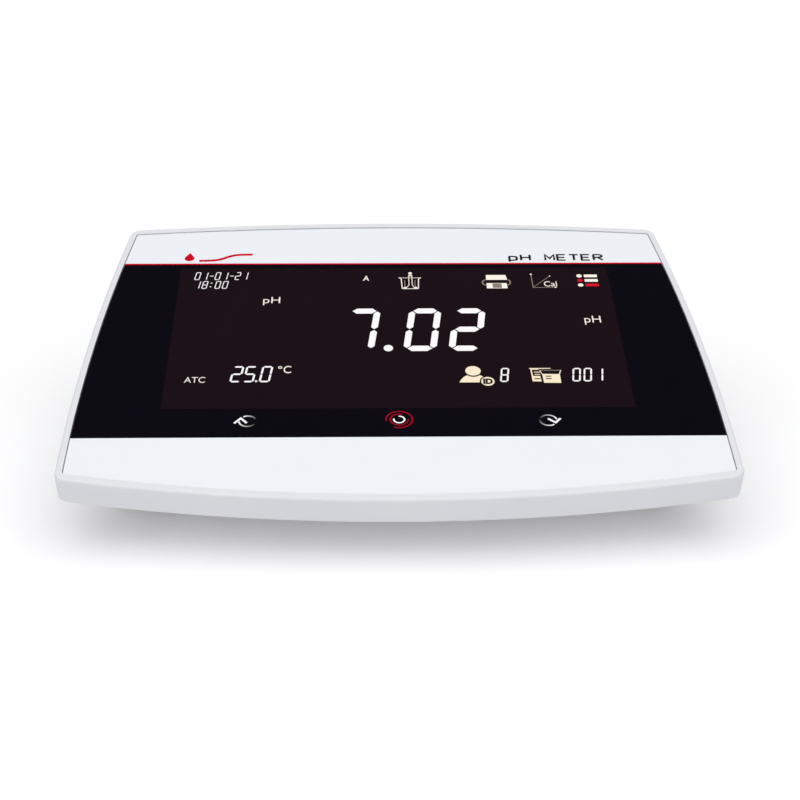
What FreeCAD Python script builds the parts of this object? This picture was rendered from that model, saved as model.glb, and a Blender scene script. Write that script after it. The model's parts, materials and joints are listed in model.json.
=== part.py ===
"""Bench pH meter: a sloping deck with a display window and touch keys, on a low base with rear sockets.

Millimetres. X runs to the right, Y to the rear, Z up, and the feet stand on Z = 0.
"""
import FreeCAD
import Part
import math
import os

Vector = FreeCAD.Vector

# ---- the whole meter --------------------------------------------------------------------------
front_width = 235.4        # between the two front corners of the cover
rear_width = 214.4         # between the two rear corners
deck_length = 178.0        # front edge to rear edge, measured up the slope
deck_tilt = 15.0           # slope of the deck in degrees
front_bow = 12.1           # how far the front edge bulges past its corners
rear_bow = 5.3
side_bow = 3.0
corner_radius = 4.5        # plan radius of the cover's corners
skirt_height = 10.0        # depth of the cover's outer wall, square to the deck
skirt_draft = 0.25         # how far the skirt leans in towards its lower edge
front_clearance = 13.6     # table to the skirt's lower edge at the middle of the front

# ---- cover ------------------------------------------------------------------------------------
cover_wall = 2.4
top_edge_radius = 0.9
lower_edge_radius = 0.5
lip_front = 3.4            # rim left around the front panel, at the front and the rear
lip_side = 2.55            # the same rim at the sides
ledge_thickness = 2.2
panel_corner_radius = 1.4

# ---- front panel ------------------------------------------------------------------------------
panel_thickness = 1.8
panel_drop = 0.3           # the panel's face lies this far below the rim
panel_gap = 0.25           # shadow gap between panel and rim
tape_thickness = 0.3

# ---- display ----------------------------------------------------------------------------------
window_width = 170.0       # clear window in the printed panel
window_height = 92.6
window_rise = 8.6          # centre of the window above the middle of the deck
glass_border = 2.0
glass_thickness = 2.4
glass_gap = 0.4            # air between panel and glass
glass_clearance = 0.5      # around the glass in the ledge
backlight_thickness = 4.0
light_bar_depth = 1.8
frame_wall = 1.5
frame_clearance = 0.3
display_board_thickness = 1.6
display_board_margin = 4.0  # board beyond its screw posts
display_post_radius = 2.8
display_post_below = 8.0   # posts this far outside the frame at its lower edge
display_post_above = 4.6   # and at its upper edge
driver_size = 9.0
driver_height = 1.2

# ---- touch keys -------------------------------------------------------------------------------
key_pitch = 54.3
key_row = -45.8            # row of the keys on the slope, from the middle of the deck
key_hole_radius = 5.0
key_spring_radius = 3.4
key_spring_wire = 0.4
key_spring_turns = 4

# ---- base -------------------------------------------------------------------------------------
base_wall = 2.4
base_floor = 2.4
base_lift = 3.0            # table to the underside of the floor
base_chamfer = 1.4
flange_inset = 0.8         # the flange lies this far up inside the skirt
flange_thickness = 2.4
flange_clearance = 0.25
belly_inset = 8.0          # belly inside the cover's outline, where it meets the flange
front_undercut = 36.0      # front of the footprint behind the front edge
foot_narrowing_front = 15.4
foot_narrowing_rear = 13.2
rear_overhang = 13.0       # deck beyond the rear wall
rear_wall = 3.2
seal_width = 2.0
seal_margin = 0.8

# ---- case screws ------------------------------------------------------------------------------
boss_radius = 3.5
boss_joint_height = 18.0   # where the base's boss meets the cover's
boss_joint_gap = 0.1
boss_from_side = 8.0
boss_from_front = 12.0
boss_from_rear = 9.0
boss_beside_frame = 1.2
case_screw_radius = 1.5
case_screw_length = 15.0
case_screw_head_radius = 2.8
case_screw_head = 2.0
screw_well_depth = 5.0
screw_clearance = 0.2

# ---- feet and plate ---------------------------------------------------------------------------
foot_radius = 7.0
foot_recess = 1.2
foot_recess_clearance = 0.2
foot_from_side = 20.0
foot_from_front = 16.0
foot_from_rear = 19.0
plate_length = 62.0
plate_width = 34.0
plate_thickness = 0.4

# ---- rear panel -------------------------------------------------------------------------------
insert_half_width = 82.0
insert_low = 8.5
insert_high = 40.0
insert_thickness = 2.0
insert_rebate = 2.5
insert_clearance = 0.15
insert_corner = 3.0
cutout_clearance = 0.2
socket_row = 27.0          # height of the screwed-in sockets

# ---- main board -------------------------------------------------------------------------------
standoff_height = 8.0
standoff_radius = 3.0
board_thickness = 1.6
board_depth = 58.0
board_rear_gap = 0.6
board_side_gap = 1.3
board_hole_inset = 5.0
board_screw_radius = 1.25
board_screw_length = 6.0
board_screw_head_radius = 2.4
board_screw_head = 1.6

# ---- sockets, from the right-hand side seen from the front ---------------------------------------
power_x = 70.0
usb_device_x = 52.0
usb_host_x = 34.0
serial_x = 4.0
reference_x = -28.0
temperature_x = -46.0
electrode_x = -66.0

power_width = 9.4
power_height = 11.4
power_depth = 14.0
power_axis_height = 6.5
power_bore_radius = 3.15
power_bore_depth = 9.6
power_pin_radius = 1.0
power_pin_root_radius = 1.4
power_pin_root_length = 2.0
power_pin_setback = 1.2

usb_device_width = 12.0
usb_device_height = 10.8
usb_device_depth = 16.0
usb_device_bore_width = 8.5
usb_device_bore_height = 7.8
usb_device_tongue_width = 5.6
usb_device_tongue_height = 3.2

usb_host_width = 13.3
usb_host_height = 6.2
usb_host_depth = 14.0
usb_host_wall = 0.4
usb_host_tongue_height = 1.9
usb_host_stilt = 0.5
usb_tongue_setback = 1.4
usb_tongue_length = 8.8

serial_width = 30.8
serial_flange_height = 12.5
serial_flange_thickness = 0.8
serial_body_depth = 12.0
serial_body_height = 11.0
serial_axis_height = 6.4
serial_shell_width = 16.9
serial_shell_height = 8.3
serial_shell_length = 5.8
serial_shell_wall = 0.5
serial_shell_slant = 10.0   # lean of the D's ends in degrees
serial_pin_radius = 0.5
serial_pin_length = 4.8
serial_pin_pitch = 2.76
serial_row_pitch = 2.84
jackscrew_spacing = 25.0
jackscrew_flats = 4.8
jackscrew_length = 5.0
jackscrew_bore_radius = 1.25
jackscrew_stud_radius = 1.4
jackscrew_stud_length = 5.0

bnc_barrel_radius = 4.8
bnc_bore_radius = 4.05
bnc_bore_depth = 8.6
bnc_barrel_length = 10.4
bnc_flange_rim = 2.1        # flange beyond the barrel
bnc_flange_thickness = 1.6
bnc_thread_radius = 4.7
bnc_thread_length = 12.0
bnc_insulator_radius = 2.4
bnc_insulator_setback = 2.0
bnc_contact_radius = 1.0
bnc_contact_bore = 0.68
bnc_contact_setback = 2.6
bnc_contact_depth = 6.0
bnc_contact_tail = 4.0
bnc_lug_radius = 1.0
bnc_lug_reach = 0.9
bnc_lug_place = 5.0         # lugs this far out from the flange
bnc_nut_flats = 14.0
bnc_nut_thickness = 2.6

cap_ring_wall = 1.1         # left outside the bayonet grooves
cap_ring_length = 11.2
cap_ring_start = 2.4        # ring's mouth this far out from the flange
cap_clearance = 0.3
cap_end_radius = 6.4
cap_end_thickness = 2.0
cap_neck_radius = 3.2
cap_back_wall = 0.9
cap_flange_thickness = 1.6
cap_tube_wall = 0.9
cap_tube_length = 6.2
cap_pin_radius = 0.38
cap_pin_length = 7.0
cap_turn = 90.0             # bayonet turn in degrees
cap_grip_ribs = 24
cap_grip_depth = 0.3

rca_barrel_radius = 4.15
rca_barrel_length = 8.0
rca_barrel_wall = 0.8
rca_contact_bore = 1.6
rca_contact_wall = 0.5
rca_contact_depth = 9.0
rca_flange_radius = 5.8
rca_flange_thickness = 1.5
rca_thread_radius = 3.9
rca_thread_length = 7.0
rca_nut_flats = 11.0
rca_nut_thickness = 2.0
rca_tail = 2.0

reference_bore_radius = 2.0
reference_bore_depth = 12.0
reference_sleeve_wall = 0.8
reference_body_radius = 4.4
reference_flange_radius = 6.0
reference_flange_thickness = 2.2
reference_thread_length = 9.0
reference_nut_flats = 12.0
reference_nut_thickness = 2.4
reference_tail = 3.0

# ---- flap over the two USB sockets --------------------------------------------------------------
flap_margin = 3.4
flap_thickness = 2.0
flap_standoff = 0.4
flap_below = 3.0
flap_hinge_above = 2.4      # hinge above the taller socket
flap_tab_width = 12.0
flap_tab_height = 3.0
strap_height = 5.0
strap_gap = 0.3
strap_corner = 1.2
strap_rivet_radius = 1.6
strap_rivet_inset = 6.0

# ---- pieces on the main board -------------------------------------------------------------------
shield_length = 28.0
shield_depth = 20.0
shield_height = 7.0
shield_wall = 0.3
shield_from_rear = 27.0
shield_x = -60.0
processor_size = 14.0
processor_height = 1.4
processor_x = -8.0
processor_from_rear = 30.0
cell_radius = 10.0
cell_height = 3.2
cell_x = 30.0
cell_from_rear = 42.0
cell_holder_wall = 1.2
cell_holder_floor = 1.0
capacitor_radius = 4.0
capacitor_height = 11.0
capacitor_pitch = 9.5
capacitor_x = 62.0
capacitor_from_rear = 32.0
inductor_size = 10.0
inductor_height = 5.0
inductor_x = 60.0
inductor_from_rear = 46.0
beeper_radius = 6.0
beeper_height = 6.5
beeper_x = -34.0
beeper_from_rear = 46.0
chip_rows = 2
chip_columns = 4
chip_length = 4.0
chip_width = 2.2
chip_height = 1.0
chip_pitch = 6.0
small_part_length = 3.2
small_part_width = 1.6
small_part_pitch = 4.0
small_part_count = 6
amplifier_length = 8.0
amplifier_width = 6.0
amplifier_height = 2.0
chip_x = -40.0
chip_from_rear = 24.0
ribbon_socket_length = 26.0
ribbon_socket_depth = 4.6
ribbon_socket_height = 4.0
ribbon_width = 20.0
ribbon_thickness = 0.5
ribbon_from_front = 8.0
ribbon_lead_in = 5.0
ribbon_bend = 1.5
ribbon_slack = 9.0
coax_radius = 1.25
coax_bend = 4.5
sensor_wire_radius = 0.7
sensor_wire_bend = 3.0

# ---- sizes that follow --------------------------------------------------------------------------
slope = math.radians(deck_tilt)
half_deck = deck_length / 2
deck_centre_height = front_clearance + skirt_height * math.cos(slope) + half_deck * math.sin(slope)
deck_placement = FreeCAD.Placement(Vector(0, 0, deck_centre_height),
                                   FreeCAD.Rotation(Vector(1, 0, 0), deck_tilt))
front_edge_y = -half_deck * math.cos(slope)
rear_edge_y = half_deck * math.cos(slope)

panel_top = -panel_drop
panel_bottom = panel_top - panel_thickness
ledge_top = panel_bottom - tape_thickness
ledge_bottom = ledge_top - ledge_thickness
glass_top = panel_bottom - glass_gap
glass_bottom = glass_top - glass_thickness
backlight_bottom = glass_bottom - backlight_thickness
frame_top = ledge_bottom - 0.1
board_top = backlight_bottom - 0.6
board_bottom = board_top - display_board_thickness

glass_half_width = window_width / 2 + glass_border
glass_half_height = window_height / 2 + glass_border
frame_half_width = glass_half_width + frame_clearance + frame_wall
frame_half_height = glass_half_height + frame_clearance + frame_wall

floor_top = base_lift + base_floor
rear_face = rear_edge_y - rear_overhang
base_front_y = front_edge_y + front_undercut
base_half_front = front_width / 2 - foot_narrowing_front
base_half_rear = rear_width / 2 - foot_narrowing_rear

main_board_bottom = floor_top + standoff_height
main_board_top = main_board_bottom + board_thickness
main_board_rear = rear_face - rear_wall - board_rear_gap
main_board_front = main_board_rear - board_depth
rear_boss_x = base_half_rear - boss_from_side + 1.0
main_board_half = rear_boss_x - boss_radius - board_side_gap
display_board_half = rear_boss_x - boss_radius - board_side_gap

flange_bottom = -skirt_height + flange_inset
flange_top = flange_bottom + flange_thickness

boss_places = []
for side in (-1, 1):
    boss_places.append((side * (base_half_front - boss_from_side), base_front_y + boss_from_front))
    boss_places.append((side * (frame_half_width + boss_radius + boss_beside_frame), 12.0))
    boss_places.append((side * rear_boss_x, rear_face - boss_from_rear))

low_post_v = window_rise - frame_half_height - display_post_below
high_post_v = window_rise + frame_half_height + display_post_above
post_reach = display_board_half - display_board_margin
display_posts = [(-post_reach, low_post_v), (post_reach, low_post_v)]
for across in (-1, 0, 1):
    display_posts.append((across * post_reach, high_post_v))

key_places = [(-key_pitch, key_row), (0.0, key_row), (key_pitch, key_row)]


# ---- shapes used by many pieces -----------------------------------------------------------------
def block(x_low, x_high, y_low, y_high, z_low, z_high):
    corner = Vector(x_low, y_low, z_low)
    return Part.makeBox(x_high - x_low, y_high - y_low, z_high - z_low, corner)


def rounded_block(x_low, x_high, y_low, y_high, z_low, z_high, radius, along=Vector(0, 0, 1)):
    """A block whose four edges along one direction are rounded."""
    solid = block(x_low, x_high, y_low, y_high, z_low, z_high)
    edges = [edge for edge in solid.Edges if abs(edge.tangentAt(edge.FirstParameter).dot(along)) > 0.9]
    return solid.makeFillet(radius, edges)


def rod(radius, start, end):
    return Part.makeCylinder(radius, (end - start).Length, start, end - start)


def rear_rod(radius, x, z, y_low, y_high):
    """A rod along Y, as every rear socket has."""
    return rod(radius, Vector(x, y_low, z), Vector(x, y_high, z))


def hexagon_rod(flats, x, z, y_low, y_high):
    """A hexagon bar along Y, given across its flats."""
    reach = flats / math.sqrt(3)
    corners = []
    for step in range(7):
        turn = math.radians(60 * step)
        corners.append(Vector(x + reach * math.cos(turn), y_low, z + reach * math.sin(turn)))
    face = Part.Face(Part.makePolygon(corners))
    return face.extrude(Vector(0, y_high - y_low, 0))


def joined(solids):
    result = solids[0].multiFuse(solids[1:]) if len(solids) > 1 else solids[0]
    return result.removeSplitter()


def group(solids):
    """Separate solids that belong to one node."""
    return Part.makeCompound(solids)


def on_deck(shape):
    """Carries a shape from the deck's frame (across, up the slope, outwards) to the case."""
    placed = shape.copy()
    placed.Placement = deck_placement.multiply(placed.Placement)
    return placed


def deck_point(across, up, out):
    return deck_placement.multVec(Vector(across, up, out))


def routed_path(points, bend):
    """Straight runs joined by tangent arcs of one radius."""
    edges = []
    start = points[0]
    for index in range(1, len(points) - 1):
        here = points[index]
        before = (points[index - 1] - here).normalize()
        after = (points[index + 1] - here).normalize()
        half_angle = before.getAngle(after) / 2
        cut_back = bend / math.tan(half_angle)
        arc_start = here + before * cut_back
        arc_end = here + after * cut_back
        inward = (before + after).normalize()
        middle = here + inward * (bend / math.sin(half_angle) - bend)
        edges.append(Part.LineSegment(start, arc_start).toShape())
        edges.append(Part.Arc(arc_start, middle, arc_end).toShape())
        start = arc_end
    edges.append(Part.LineSegment(start, points[-1]).toShape())
    return Part.Wire(edges)


def round_lead(points, radius, bend):
    path = routed_path(points, bend)
    along = (points[1] - points[0]).normalize()
    profile = Part.Wire(Part.makeCircle(radius, points[0], along))
    return path.makePipeShell([profile], True, False)


def cross_recess(width, length, depth):
    """The cross that a screwdriver drives, cut down from Z = 0."""
    one = block(-length / 2, length / 2, -width / 2, width / 2, -depth, 1)
    two = block(-width / 2, width / 2, -length / 2, length / 2, -depth, 1)
    return one.fuse(two)


def pan_screw(head_radius, head_height, shaft_radius, shaft_length):
    """A pan-head screw pointing down, with the top of its head at Z = 0."""
    head = Part.makeCylinder(head_radius, head_height, Vector(0, 0, -head_height))
    rim = [edge for edge in head.Edges if edge.BoundBox.ZMin > -1e-6]
    head = head.makeFillet(head_height * 0.45, rim)
    shaft = Part.makeCylinder(shaft_radius, shaft_length, Vector(0, 0, -head_height - shaft_length))
    body = head.fuse(shaft).removeSplitter()
    return body.cut(cross_recess(head_radius * 0.28, head_radius * 1.1, head_height * 0.6))


def turned_screw(screw, place, point_along):
    """Puts a screw's head at a place, with its point along a direction."""
    moved = screw.copy()
    turn = FreeCAD.Rotation(Vector(0, 0, -1), point_along)
    moved.Placement = FreeCAD.Placement(place, turn)
    return moved


# ---- the meter's plan outline -------------------------------------------------------------------
class BowedOutline:
    """Four gently bowed sides with rounded corners, wider at the front than at the rear.

    An inset outline keeps the centres of its arcs, so insets of it stay parallel.
    """

    def __init__(self, front, rear, half_front, half_rear, bow_front, bow_rear, bow_side):
        self.front_radius = (half_front ** 2 + bow_front ** 2) / (2 * bow_front)
        self.rear_radius = (half_rear ** 2 + bow_rear ** 2) / (2 * bow_rear)
        self.front_centre = Vector(0, front + self.front_radius, 0)
        self.rear_centre = Vector(0, rear - self.rear_radius, 0)
        self.front_corner = Vector(half_front, front + bow_front, 0)
        self.rear_corner = Vector(half_rear, rear - bow_rear, 0)
        chord = self.rear_corner - self.front_corner
        self.side_radius = (chord.Length ** 2 / 4 + bow_side ** 2) / (2 * bow_side)
        inward = Vector(-chord.y, chord.x, 0).normalize()
        middle = (self.front_corner + self.rear_corner) * 0.5
        self.side_centre = middle + inward * (self.side_radius - bow_side)

    def corner_centre(self, centre_a, radius_a, centre_b, radius_b, near):
        """Where two circles cross, on the side of a given corner."""
        line = centre_b - centre_a
        distance = line.Length
        along = (radius_a ** 2 - radius_b ** 2 + distance ** 2) / (2 * distance)
        height = math.sqrt(radius_a ** 2 - along ** 2)
        unit = Vector(line).normalize()
        foot = centre_a + unit * along
        square = Vector(-unit.y, unit.x, 0) * height
        choices = (foot + square, foot - square)
        return min(choices, key=lambda point: (point - near).Length)

    def wire(self, height=0.0, inset=0.0, side_inset=None, corner=corner_radius):
        side_inset = inset if side_inset is None else side_inset
        front_r = self.front_radius - inset
        rear_r = self.rear_radius - inset
        side_r = self.side_radius - side_inset
        near_front = self.corner_centre(self.front_centre, front_r - corner,
                                        self.side_centre, side_r - corner, self.front_corner)
        near_rear = self.corner_centre(self.rear_centre, rear_r - corner,
                                       self.side_centre, side_r - corner, self.rear_corner)

        def on_circle(centre, radius, towards):
            return centre + (towards - centre).normalize() * radius

        front_end = on_circle(self.front_centre, front_r, near_front)
        side_start = on_circle(self.side_centre, side_r, near_front)
        side_end = on_circle(self.side_centre, side_r, near_rear)
        rear_end = on_circle(self.rear_centre, rear_r, near_rear)
        side_middle = on_circle(self.side_centre, side_r, (side_start + side_end) * 0.5)
        front_turn = on_circle(near_front, corner, (front_end + side_start) * 0.5)
        rear_turn = on_circle(near_rear, corner, (side_end + rear_end) * 0.5)
        front_middle = self.front_centre - Vector(0, front_r, 0)
        rear_middle = self.rear_centre + Vector(0, rear_r, 0)
        lift = Vector(0, 0, height)

        def left(point):
            return Vector(-point.x, point.y, point.z)

        arcs = [(left(front_end), front_middle, front_end),
                (front_end, front_turn, side_start),
                (side_start, side_middle, side_end),
                (side_end, rear_turn, rear_end),
                (rear_end, rear_middle, left(rear_end)),
                (left(rear_end), left(rear_turn), left(side_end)),
                (left(side_end), left(side_middle), left(side_start)),
                (left(side_start), left(front_turn), left(front_end))]
        edges = [Part.Arc(a + lift, b + lift, c + lift).toShape() for a, b, c in arcs]
        return Part.Wire(edges)

    def plate(self, low, high, inset=0.0, side_inset=None, corner=corner_radius):
        face = Part.Face(self.wire(low, inset, side_inset, corner))
        return face.extrude(Vector(0, 0, high - low))


deck_outline = BowedOutline(-half_deck, half_deck, front_width / 2, rear_width / 2,
                            front_bow, rear_bow, side_bow)
foot_outline = BowedOutline(base_front_y, rear_face + rear_wall, base_half_front, base_half_rear,
                            front_bow * 0.6, rear_bow * 0.6, side_bow * 0.6)


# ---- cover and what it frames -------------------------------------------------------------------
def make_top_cover():
    top = deck_outline.wire(0.0)
    bottom = deck_outline.wire(-skirt_height, skirt_draft)
    shell = Part.makeLoft([bottom, top], True, True)
    top_edges = [edge for edge in shell.Edges if edge.BoundBox.ZMin > -1e-3]
    shell = shell.makeFillet(top_edge_radius, top_edges)
    low_edges = [edge for edge in shell.Edges if edge.BoundBox.ZMax < -skirt_height + 1e-3]
    shell = shell.makeFillet(lower_edge_radius, low_edges)
    recess = deck_outline.plate(ledge_top, 1.0, lip_front, lip_side, panel_corner_radius)
    hollow_top = deck_outline.wire(ledge_bottom, cover_wall + skirt_draft * -ledge_bottom / skirt_height)
    hollow_low = deck_outline.wire(-skirt_height - 1.0, cover_wall + skirt_draft)
    hollow = Part.makeLoft([hollow_low, hollow_top], True, True)
    opening_x = glass_half_width + glass_clearance
    opening_y = glass_half_height + glass_clearance
    window = rounded_block(-opening_x, opening_x, window_rise - opening_y, window_rise + opening_y,
                           ledge_bottom - 1, ledge_top + 1, panel_corner_radius)
    shell = shell.cut(recess).cut(hollow).cut(window)
    for across, up in key_places:
        shell = shell.cut(Part.makeCylinder(key_hole_radius, 4 * ledge_thickness,
                                            Vector(across, up, ledge_bottom - ledge_thickness)))
    posts = []
    for across, up in display_posts:
        post = Part.makeCylinder(display_post_radius, ledge_bottom - board_top + 0.2,
                                 Vector(across, up, board_top))
        posts.append(post)
    shell = shell.multiFuse(posts)
    for across, up in display_posts:
        shell = shell.cut(Part.makeCylinder(board_screw_radius, 5.0, Vector(across, up, board_top - 0.5)))
    shell = on_deck(shell)
    under_ledge = on_deck(deck_outline.plate(ledge_bottom - 200, ledge_bottom + 0.2, cover_wall + 2))
    bosses = []
    for x, y in boss_places:
        boss = rod(boss_radius, Vector(x, y, boss_joint_height + boss_joint_gap), Vector(x, y, 200))
        bosses.append(boss.common(under_ledge))
    shell = shell.multiFuse(bosses)
    pilot_top = floor_top - base_floor + screw_well_depth + case_screw_length + 1.0
    for x, y in boss_places:
        pilot_start = Vector(x, y, boss_joint_height - 1)
        shell = shell.cut(rod(case_screw_radius, pilot_start, Vector(x, y, pilot_top)))
    return shell


def make_panel_tape():
    inset = lip_front + panel_gap
    side_inset = lip_side + panel_gap
    tape = deck_outline.plate(ledge_top, panel_bottom, inset, side_inset, panel_corner_radius)
    opening_x = glass_half_width + glass_clearance
    opening_y = glass_half_height + glass_clearance
    window = block(-opening_x, opening_x, window_rise - opening_y, window_rise + opening_y,
                   ledge_top - 1, panel_bottom + 1)
    tape = tape.cut(window)
    for across, up in key_places:
        tape = tape.cut(Part.makeCylinder(key_hole_radius, 4.0, Vector(across, up, ledge_top - 2)))
    return on_deck(tape)


def make_front_panel():
    inset = lip_front + panel_gap
    side_inset = lip_side + panel_gap
    return on_deck(deck_outline.plate(panel_bottom, panel_top, inset, side_inset, panel_corner_radius))


def display_slab(half_width, v_low, v_high, low, high, radius=0.6):
    return rounded_block(-half_width, half_width, v_low, v_high, low, high, radius)


def make_lcd_glass():
    v_low = window_rise - glass_half_height
    v_high = window_rise + glass_half_height
    return on_deck(display_slab(glass_half_width, v_low, v_high, glass_bottom, glass_top))


def make_lcd_backlight():
    v_low = window_rise - glass_half_height + light_bar_depth
    v_high = window_rise + glass_half_height
    return on_deck(display_slab(glass_half_width, v_low, v_high, backlight_bottom, glass_bottom))


def make_backlight_leds():
    """A bar of lamps along the lower edge of the light guide."""
    v_low = window_rise - glass_half_height
    bar = block(-glass_half_width, glass_half_width, v_low, v_low + light_bar_depth / 2,
                backlight_bottom, glass_bottom)
    lamps = [bar]
    for step in range(-8, 9):
        across = step * glass_half_width / 9
        lamps.append(block(across - 1.6, across + 1.6, v_low + light_bar_depth / 2, v_low + light_bar_depth,
                           backlight_bottom + 1.0, glass_bottom - 1.0))
    return on_deck(joined(lamps))


def make_lcd_frame():
    v_low = window_rise - frame_half_height
    v_high = window_rise + frame_half_height
    outer = display_slab(frame_half_width, v_low, v_high, board_top, frame_top, 1.5)
    inner_x = glass_half_width + frame_clearance
    inner_y = glass_half_height + frame_clearance
    inner = block(-inner_x, inner_x, window_rise - inner_y, window_rise + inner_y,
                  board_top - 1, frame_top + 1)
    return on_deck(outer.cut(inner))


def make_display_board():
    v_low = low_post_v - display_board_margin
    v_high = high_post_v + display_board_margin
    board = display_slab(display_board_half, v_low, v_high, board_bottom, board_top, 2.0)
    for across, up in display_posts:
        board = board.cut(Part.makeCylinder(board_screw_radius + screw_clearance, 6.0,
                                            Vector(across, up, board_bottom - 2)))
    return on_deck(board)


def make_display_drivers():
    chips = []
    for across in (-48.0, 0.0, 48.0):
        for up in (-22.0, 40.0):
            chips.append(block(across - driver_size / 2, across + driver_size / 2,
                               up - driver_size / 2, up + driver_size / 2,
                               board_bottom - driver_height, board_bottom))
    return on_deck(group(chips))


def make_touch_springs():
    springs = []
    height = panel_bottom - board_top - 2 * key_spring_wire
    for across, up in key_places:
        helix = Part.makeHelix(height / key_spring_turns, height, key_spring_radius)
        wire_centre = Vector(key_spring_radius, 0, 0)
        profile = Part.Wire(Part.makeCircle(key_spring_wire, wire_centre, Vector(0, 1, 0)))
        spring = Part.Wire(helix.Edges).makePipeShell([profile], True, True)
        spring.translate(Vector(across, up, board_top + key_spring_wire))
        springs.append(spring)
    return on_deck(group(springs))


def make_display_board_screws():
    screw = pan_screw(board_screw_head_radius, board_screw_head, board_screw_radius, board_screw_length)
    up_the_post = deck_placement.Rotation.multVec(Vector(0, 0, 1))
    screws = []
    for across, up in display_posts:
        place = deck_point(across, up, board_bottom - board_screw_head)
        screws.append(turned_screw(screw, place, up_the_post))
    return group(screws)


# ---- base ---------------------------------------------------------------------------------------
def base_loft(extra_inset, joint_height, low, chamfer):
    """The belly between the sloping flange and the footprint, or its hollow."""
    upper = on_deck(deck_outline.wire(joint_height, belly_inset + extra_inset))
    lower = foot_outline.wire(low + chamfer, extra_inset)
    lowest = foot_outline.wire(low, extra_inset + chamfer)
    return Part.makeLoft([upper, lower, lowest], True, True)


def make_bottom_case():
    wide = 400.0
    flange_edge = cover_wall + skirt_draft + flange_clearance
    flange = on_deck(deck_outline.plate(flange_bottom, flange_top, flange_edge))
    belly = base_loft(0.0, (flange_bottom + flange_top) / 2, base_lift, base_chamfer)
    belly = belly.common(block(-wide, wide, -wide, rear_face, -10, wide))
    hollow = base_loft(base_wall, flange_top + 0.6, floor_top, base_chamfer)
    hollow = hollow.common(block(-wide, wide, -wide, rear_face - rear_wall, -10, wide))
    case = flange.fuse(belly).cut(hollow)
    bosses = []
    for x, y in boss_places:
        bosses.append(rod(boss_radius, Vector(x, y, base_lift + 1.0), Vector(x, y, boss_joint_height)))
    for x, y in standoff_places():
        bosses.append(rod(standoff_radius, Vector(x, y, floor_top - 0.5), Vector(x, y, main_board_bottom)))
    solid_belly = base_loft(0.0, flange_top + 0.4, base_lift, base_chamfer)
    case = case.multiFuse([boss.common(solid_belly) for boss in bosses])
    cuts = []
    for x, y in boss_places:
        shaft_hole = case_screw_radius + screw_clearance
        cuts.append(rod(shaft_hole, Vector(x, y, base_lift - 1), Vector(x, y, boss_joint_height + 1)))
        well = case_screw_head_radius + screw_clearance
        cuts.append(rod(well, Vector(x, y, base_lift - 1), Vector(x, y, base_lift + screw_well_depth)))
    for x, y in standoff_places():
        cuts.append(rod(board_screw_radius, Vector(x, y, main_board_bottom - 6.5), Vector(x, y, 100)))
    for x, y in foot_places():
        cuts.append(rod(foot_radius + foot_recess_clearance, Vector(x, y, base_lift - 1),
                        Vector(x, y, base_lift + foot_recess)))
    cuts.append(rear_insert_block(insert_clearance, rear_face - insert_thickness, rear_face + 1))
    cuts.append(rear_insert_block(-insert_rebate, rear_face - rear_wall - 1, rear_face))
    plate_x = plate_length / 2 + foot_recess_clearance
    plate_y = plate_width / 2 + foot_recess_clearance
    cuts.append(block(-plate_x, plate_x, -plate_y, plate_y, base_lift - 1, base_lift + plate_thickness))
    for cut in cuts:
        case = case.cut(cut)
    return case


def rear_insert_block(grow, y_low, y_high):
    return rounded_block(-insert_half_width - grow, insert_half_width + grow, y_low, y_high,
                         insert_low - grow, insert_high + grow, insert_corner, Vector(0, 1, 0))


def make_case_seal():
    edge = cover_wall + skirt_draft + flange_clearance + seal_margin
    outer = deck_outline.plate(flange_top, ledge_bottom, edge)
    inner = deck_outline.plate(flange_top - 1, ledge_bottom + 1, edge + seal_width)
    return on_deck(outer.cut(inner))


def make_case_screws():
    screw = pan_screw(case_screw_head_radius, case_screw_head, case_screw_radius, case_screw_length)
    head_top = base_lift + screw_well_depth - case_screw_head
    return group([turned_screw(screw, Vector(x, y, head_top), Vector(0, 0, 1)) for x, y in boss_places])


def foot_places():
    places = []
    for side in (-1, 1):
        places.append((side * (base_half_front - foot_from_side), base_front_y + foot_from_front))
        places.append((side * (base_half_rear - foot_from_side + 4.0), rear_face - foot_from_rear))
    return places


def make_foot(x, y):
    """A rubber disc with a rounded sole, stuck in its recess."""
    foot = rod(foot_radius, Vector(x, y, 0), Vector(x, y, base_lift + foot_recess))
    sole = [edge for edge in foot.Edges if edge.BoundBox.ZMax < 1e-6]
    return foot.makeFillet(0.8, sole)


def make_rating_plate():
    return rounded_block(-plate_length / 2, plate_length / 2, -plate_width / 2, plate_width / 2,
                         base_lift, base_lift + plate_thickness, 1.5)


# ---- main board and its pieces --------------------------------------------------------------------
def standoff_places():
    places = []
    for side in (-1, 1):
        for y in (main_board_front + board_hole_inset, main_board_rear - board_depth / 2):
            places.append((side * (main_board_half - board_hole_inset), y))
    return places


def on_board(x, from_rear, length, depth, height):
    """A block standing on the main board, placed by its centre."""
    y = main_board_rear - from_rear
    return block(x - length / 2, x + length / 2, y - depth / 2, y + depth / 2,
                 main_board_top, main_board_top + height)


def make_main_board():
    board = rounded_block(-main_board_half, main_board_half, main_board_front, main_board_rear,
                          main_board_bottom, main_board_top, 2.0)
    for x, y in standoff_places():
        hole = board_screw_radius + screw_clearance
        board = board.cut(rod(hole, Vector(x, y, main_board_bottom - 1), Vector(x, y, main_board_top + 1)))
    return board


def make_main_board_screws():
    screw = pan_screw(board_screw_head_radius, board_screw_head, board_screw_radius, board_screw_length)
    head_top = main_board_top + board_screw_head
    down = Vector(0, 0, -1)
    return group([turned_screw(screw, Vector(x, y, head_top), down) for x, y in standoff_places()])


def make_main_processor():
    return on_board(processor_x, processor_from_rear, processor_size, processor_size, processor_height)


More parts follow.
